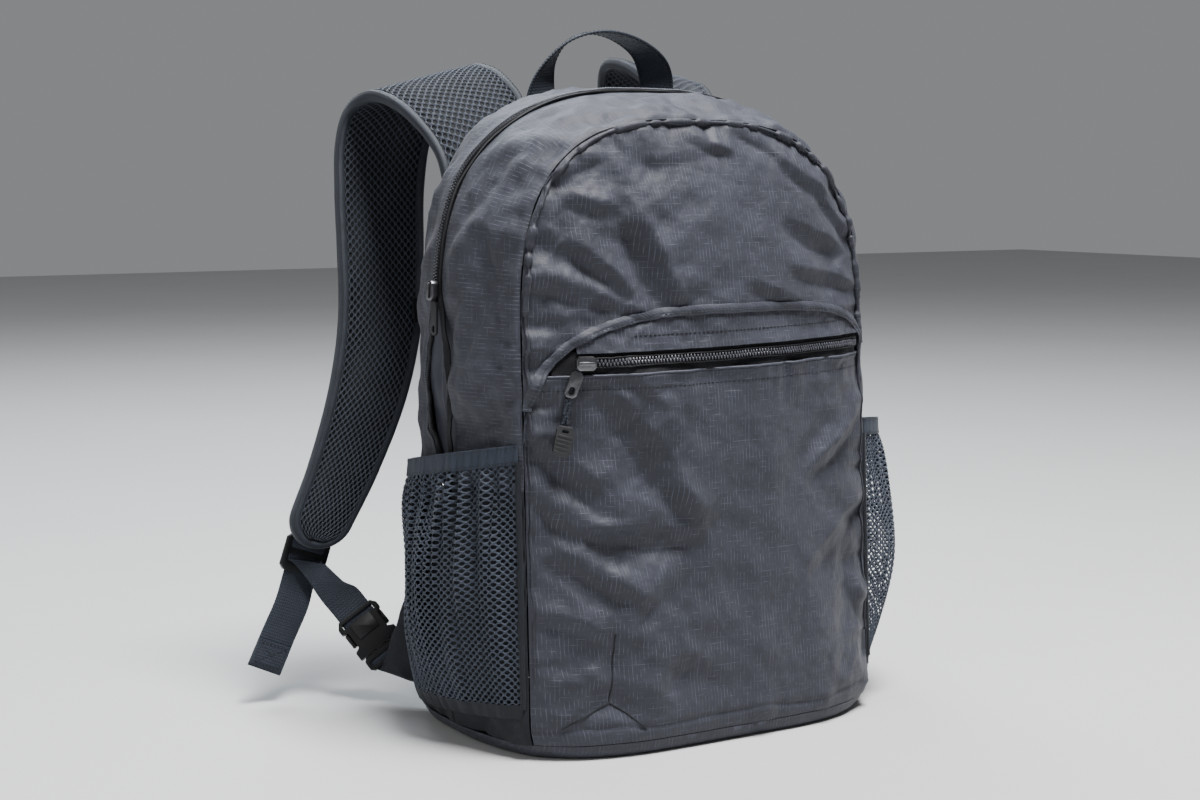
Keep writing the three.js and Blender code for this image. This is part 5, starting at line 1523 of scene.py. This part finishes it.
def socket_relief(half):
    """A raised field on both faces, a bar at the webbing's end, and the two prongs in the notches."""
    fields = [((0, 3, half[2] + 0.25), (half[0] * 0.5, half[1] * 0.42, 0.5)),
              ((0, -half[1] + 3, half[2] + 0.3), (half[0] * 0.8, 1.2, 0.6)),
              ((0, 3, -half[2] - 0.25), (half[0] * 0.5, half[1] * 0.42, 0.5))]
    return fields + [((sign * (half[0] - 2.6), 0, 0), (1.7, 5.2, half[2] * 0.62)) for sign in (-1, 1)]


def socket_loop(half):
    return [((0, half[1] - 4.6, 0), (WEBBING / 2, 3.4, 3.0))]


def plug_loop(_):
    return [((0, -1, 0), (WEBBING / 2 + 0.4, 2.6, 2.4))]


def make_wing(side, name):
    """The cloth wing that joins the corner of the bag to its buckle."""
    tip = [on_buckle(4.6) - BUCKLE_WIDTH * 12.5 * end for end in (-1, 1)]
    u, v = np.linspace(0, 1, 26)[:, None], np.linspace(0, 1, 34)[None]
    arch = np.sin(math.pi * u)
    root = back(-0.95 + 0 * v, mix(12, 112, v)) + np.array([0, SEAM + 0.2, 0])
    p = mix(root, mix(tip[0], tip[1], v[..., None]), u[..., None])
    p[..., 0] -= 11 * arch * np.sin(math.pi * v) ** 0.5
    p[..., 2] += 16 * arch * v
    p = p + normals(p) * (1.3 * crumple(60 * u, 100 * v, 91, 24, 6) * arch ** 0.5)[..., None]
    p = p * to_side(side)
    parts = [(shell(p, 2.0, 0.0), wing_look), (stitches(*grid_line(p, 2, 2.0)), dark_thread_look)]
    piece(f"corner_wing_cloth_{name}", [f"corner_wing_{name}"], parts)


def make_adjuster(side, name):
    """Lock, tab, loose tail and lower webbing of one side, then its corner buckle and wing."""
    up, down = LOCK_UP * to_side(side), BUCKLE_AXIS * to_side(side)
    make_lock_tab(side, name)
    make_tail(side, name)
    make_lower_webbing(side, name)
    make_hard_part("ladder_lock", name, up, 0.8, lock_bars, lock_loops)
    make_hard_part("buckle_socket", name, down, 1.1, socket_relief, socket_loop)
    make_hard_part("buckle_plug", name, down, 0.7, None, plug_loop)
    make_wing(side, name)


def keeper_place(run):
    """A place on the inner edge of a shoulder strap, and the direction into the strap."""
    l = run.length
    while run.place(l, 0, 0)[2] < CHEST_HEIGHT:
        l -= 0.5
    edge = run.place(l, -run.wide(l) / 2, 0)
    return edge, unit(run.place(l, 0, 0) - edge)


def make_chest_strap(runs):
    ends = [edge - inward * 4.8 for edge, inward in map(keeper_place, runs)]
    middle = (ends[0] + ends[1]) / 2 - np.array([0, CHEST_SAG, CHEST_SAG])
    part, _ = webbing([(p, (0, 0, 1), CHEST_WIDTH) for p in (ends[0], middle, ends[1])], ease=1.0)
    piece("sternum_webbing", ["sternum_strap"], [(part, webbing_look)])
    half = local_axes("sternum_clasp")[2]
    raised = [((0, 0, half[2] + 0.3), (half[0] * 0.5, half[1] * 0.5, 0.5))]
    rounded("sternum_clasp", "sternum_clasp_body", plastic_look, 1.6,
            [(slab("sternum_clasp", raised), plastic_look)])
    for name in ("left", "right"):
        rounded(f"sternum_keeper_{name}", f"sternum_keeper_body_{name}", plastic_look, 0.7)


make_front_panel()
make_pocket()
make_pocket_header()
make_pocket_zip()
make_pocket_binding()
make_gussets()
make_main_zip()
make_back_panel()
make_base()
make_handle()
make_side_pocket(-1, "left")
make_side_pocket(1, "right")
strap_runs = [make_strap(-1, "left"), make_strap(1, "right")]
make_adjuster(-1, "left")
make_adjuster(1, "right")
make_chest_strap(strap_runs)
make_pocket_slider()
make_main_sliders()


# Stage, light and camera

def make_floor():
    mesh = bpy.data.meshes.new("floor")
    half = 6.0
    corners = [(x * half, y * half, 0) for x, y in ((-1, -1), (1, -1), (1, 1), (-1, 1))]
    mesh.from_pydata(corners, [], [(0, 1, 2, 3)])
    floor = bpy.data.objects.new("floor", mesh)
    bpy.context.collection.objects.link(floor)
    look = Look("floor", 0.8)
    grain = look.noise(300, 1)
    look.feed(look.shader.inputs["Base Color"], look.colours(grain, (0.43, 0.43, 0.43), (0.46, 0.46, 0.46)))
    mesh.materials.append(look.material)


def make_light(name, at, towards, size, power, colour=(1, 1, 1)):
    data = bpy.data.lights.new(name, "AREA")
    data.size = size
    data.energy = power
    data.color = colour
    made = bpy.data.objects.new(name, data)
    bpy.context.collection.objects.link(made)
    made.location = at
    made.rotation_euler = (Vector(towards) - Vector(at)).to_track_quat("-Z", "Y").to_euler()


def make_stage():
    make_floor()
    world = bpy.data.worlds.new("studio")
    bpy.context.scene.world = world
    world.use_nodes = True
    glow = world.node_tree.nodes["Background"].inputs
    glow["Color"].default_value = (0.95, 0.97, 1.0, 1.0)
    glow["Strength"].default_value = 0.25
    make_light("key", (0.12, -0.56, 2.3), (0, 0, 0.2), 0.8, 178)
    make_light("side", (-2.2, -0.5, 1.2), (0, 0, 0.2), 1.0, 14)
    make_light("rim", (0.2, 1.6, 2.2), (0, 0, 0.3), 1.4, 62, (0.84, 0.92, 1.0))


def make_camera():
    """Looks at the bag from its left front, a little above its middle."""
    azimuth, elevation, distance = math.radians(-31.5), math.radians(6.5), 1.353
    shift, height = -0.038, 0.214
    back_way = Vector((math.sin(azimuth) * math.cos(elevation), -math.cos(azimuth) * math.cos(elevation),
                       math.sin(elevation)))
    right = Vector((math.cos(azimuth), math.sin(azimuth), 0))
    up = back_way.cross(right)
    target = Vector((shift * math.cos(azimuth), shift * math.sin(azimuth), height))
    data = bpy.data.cameras.new("camera")
    data.lens = 60
    data.sensor_width = 36
    camera = bpy.data.objects.new("camera", data)
    bpy.context.collection.objects.link(camera)
    turned = Matrix((right, up, back_way)).transposed().to_4x4()
    turned.translation = target + back_way * distance
    camera.matrix_world = turned
    bpy.context.scene.camera = camera


make_stage()
make_camera()
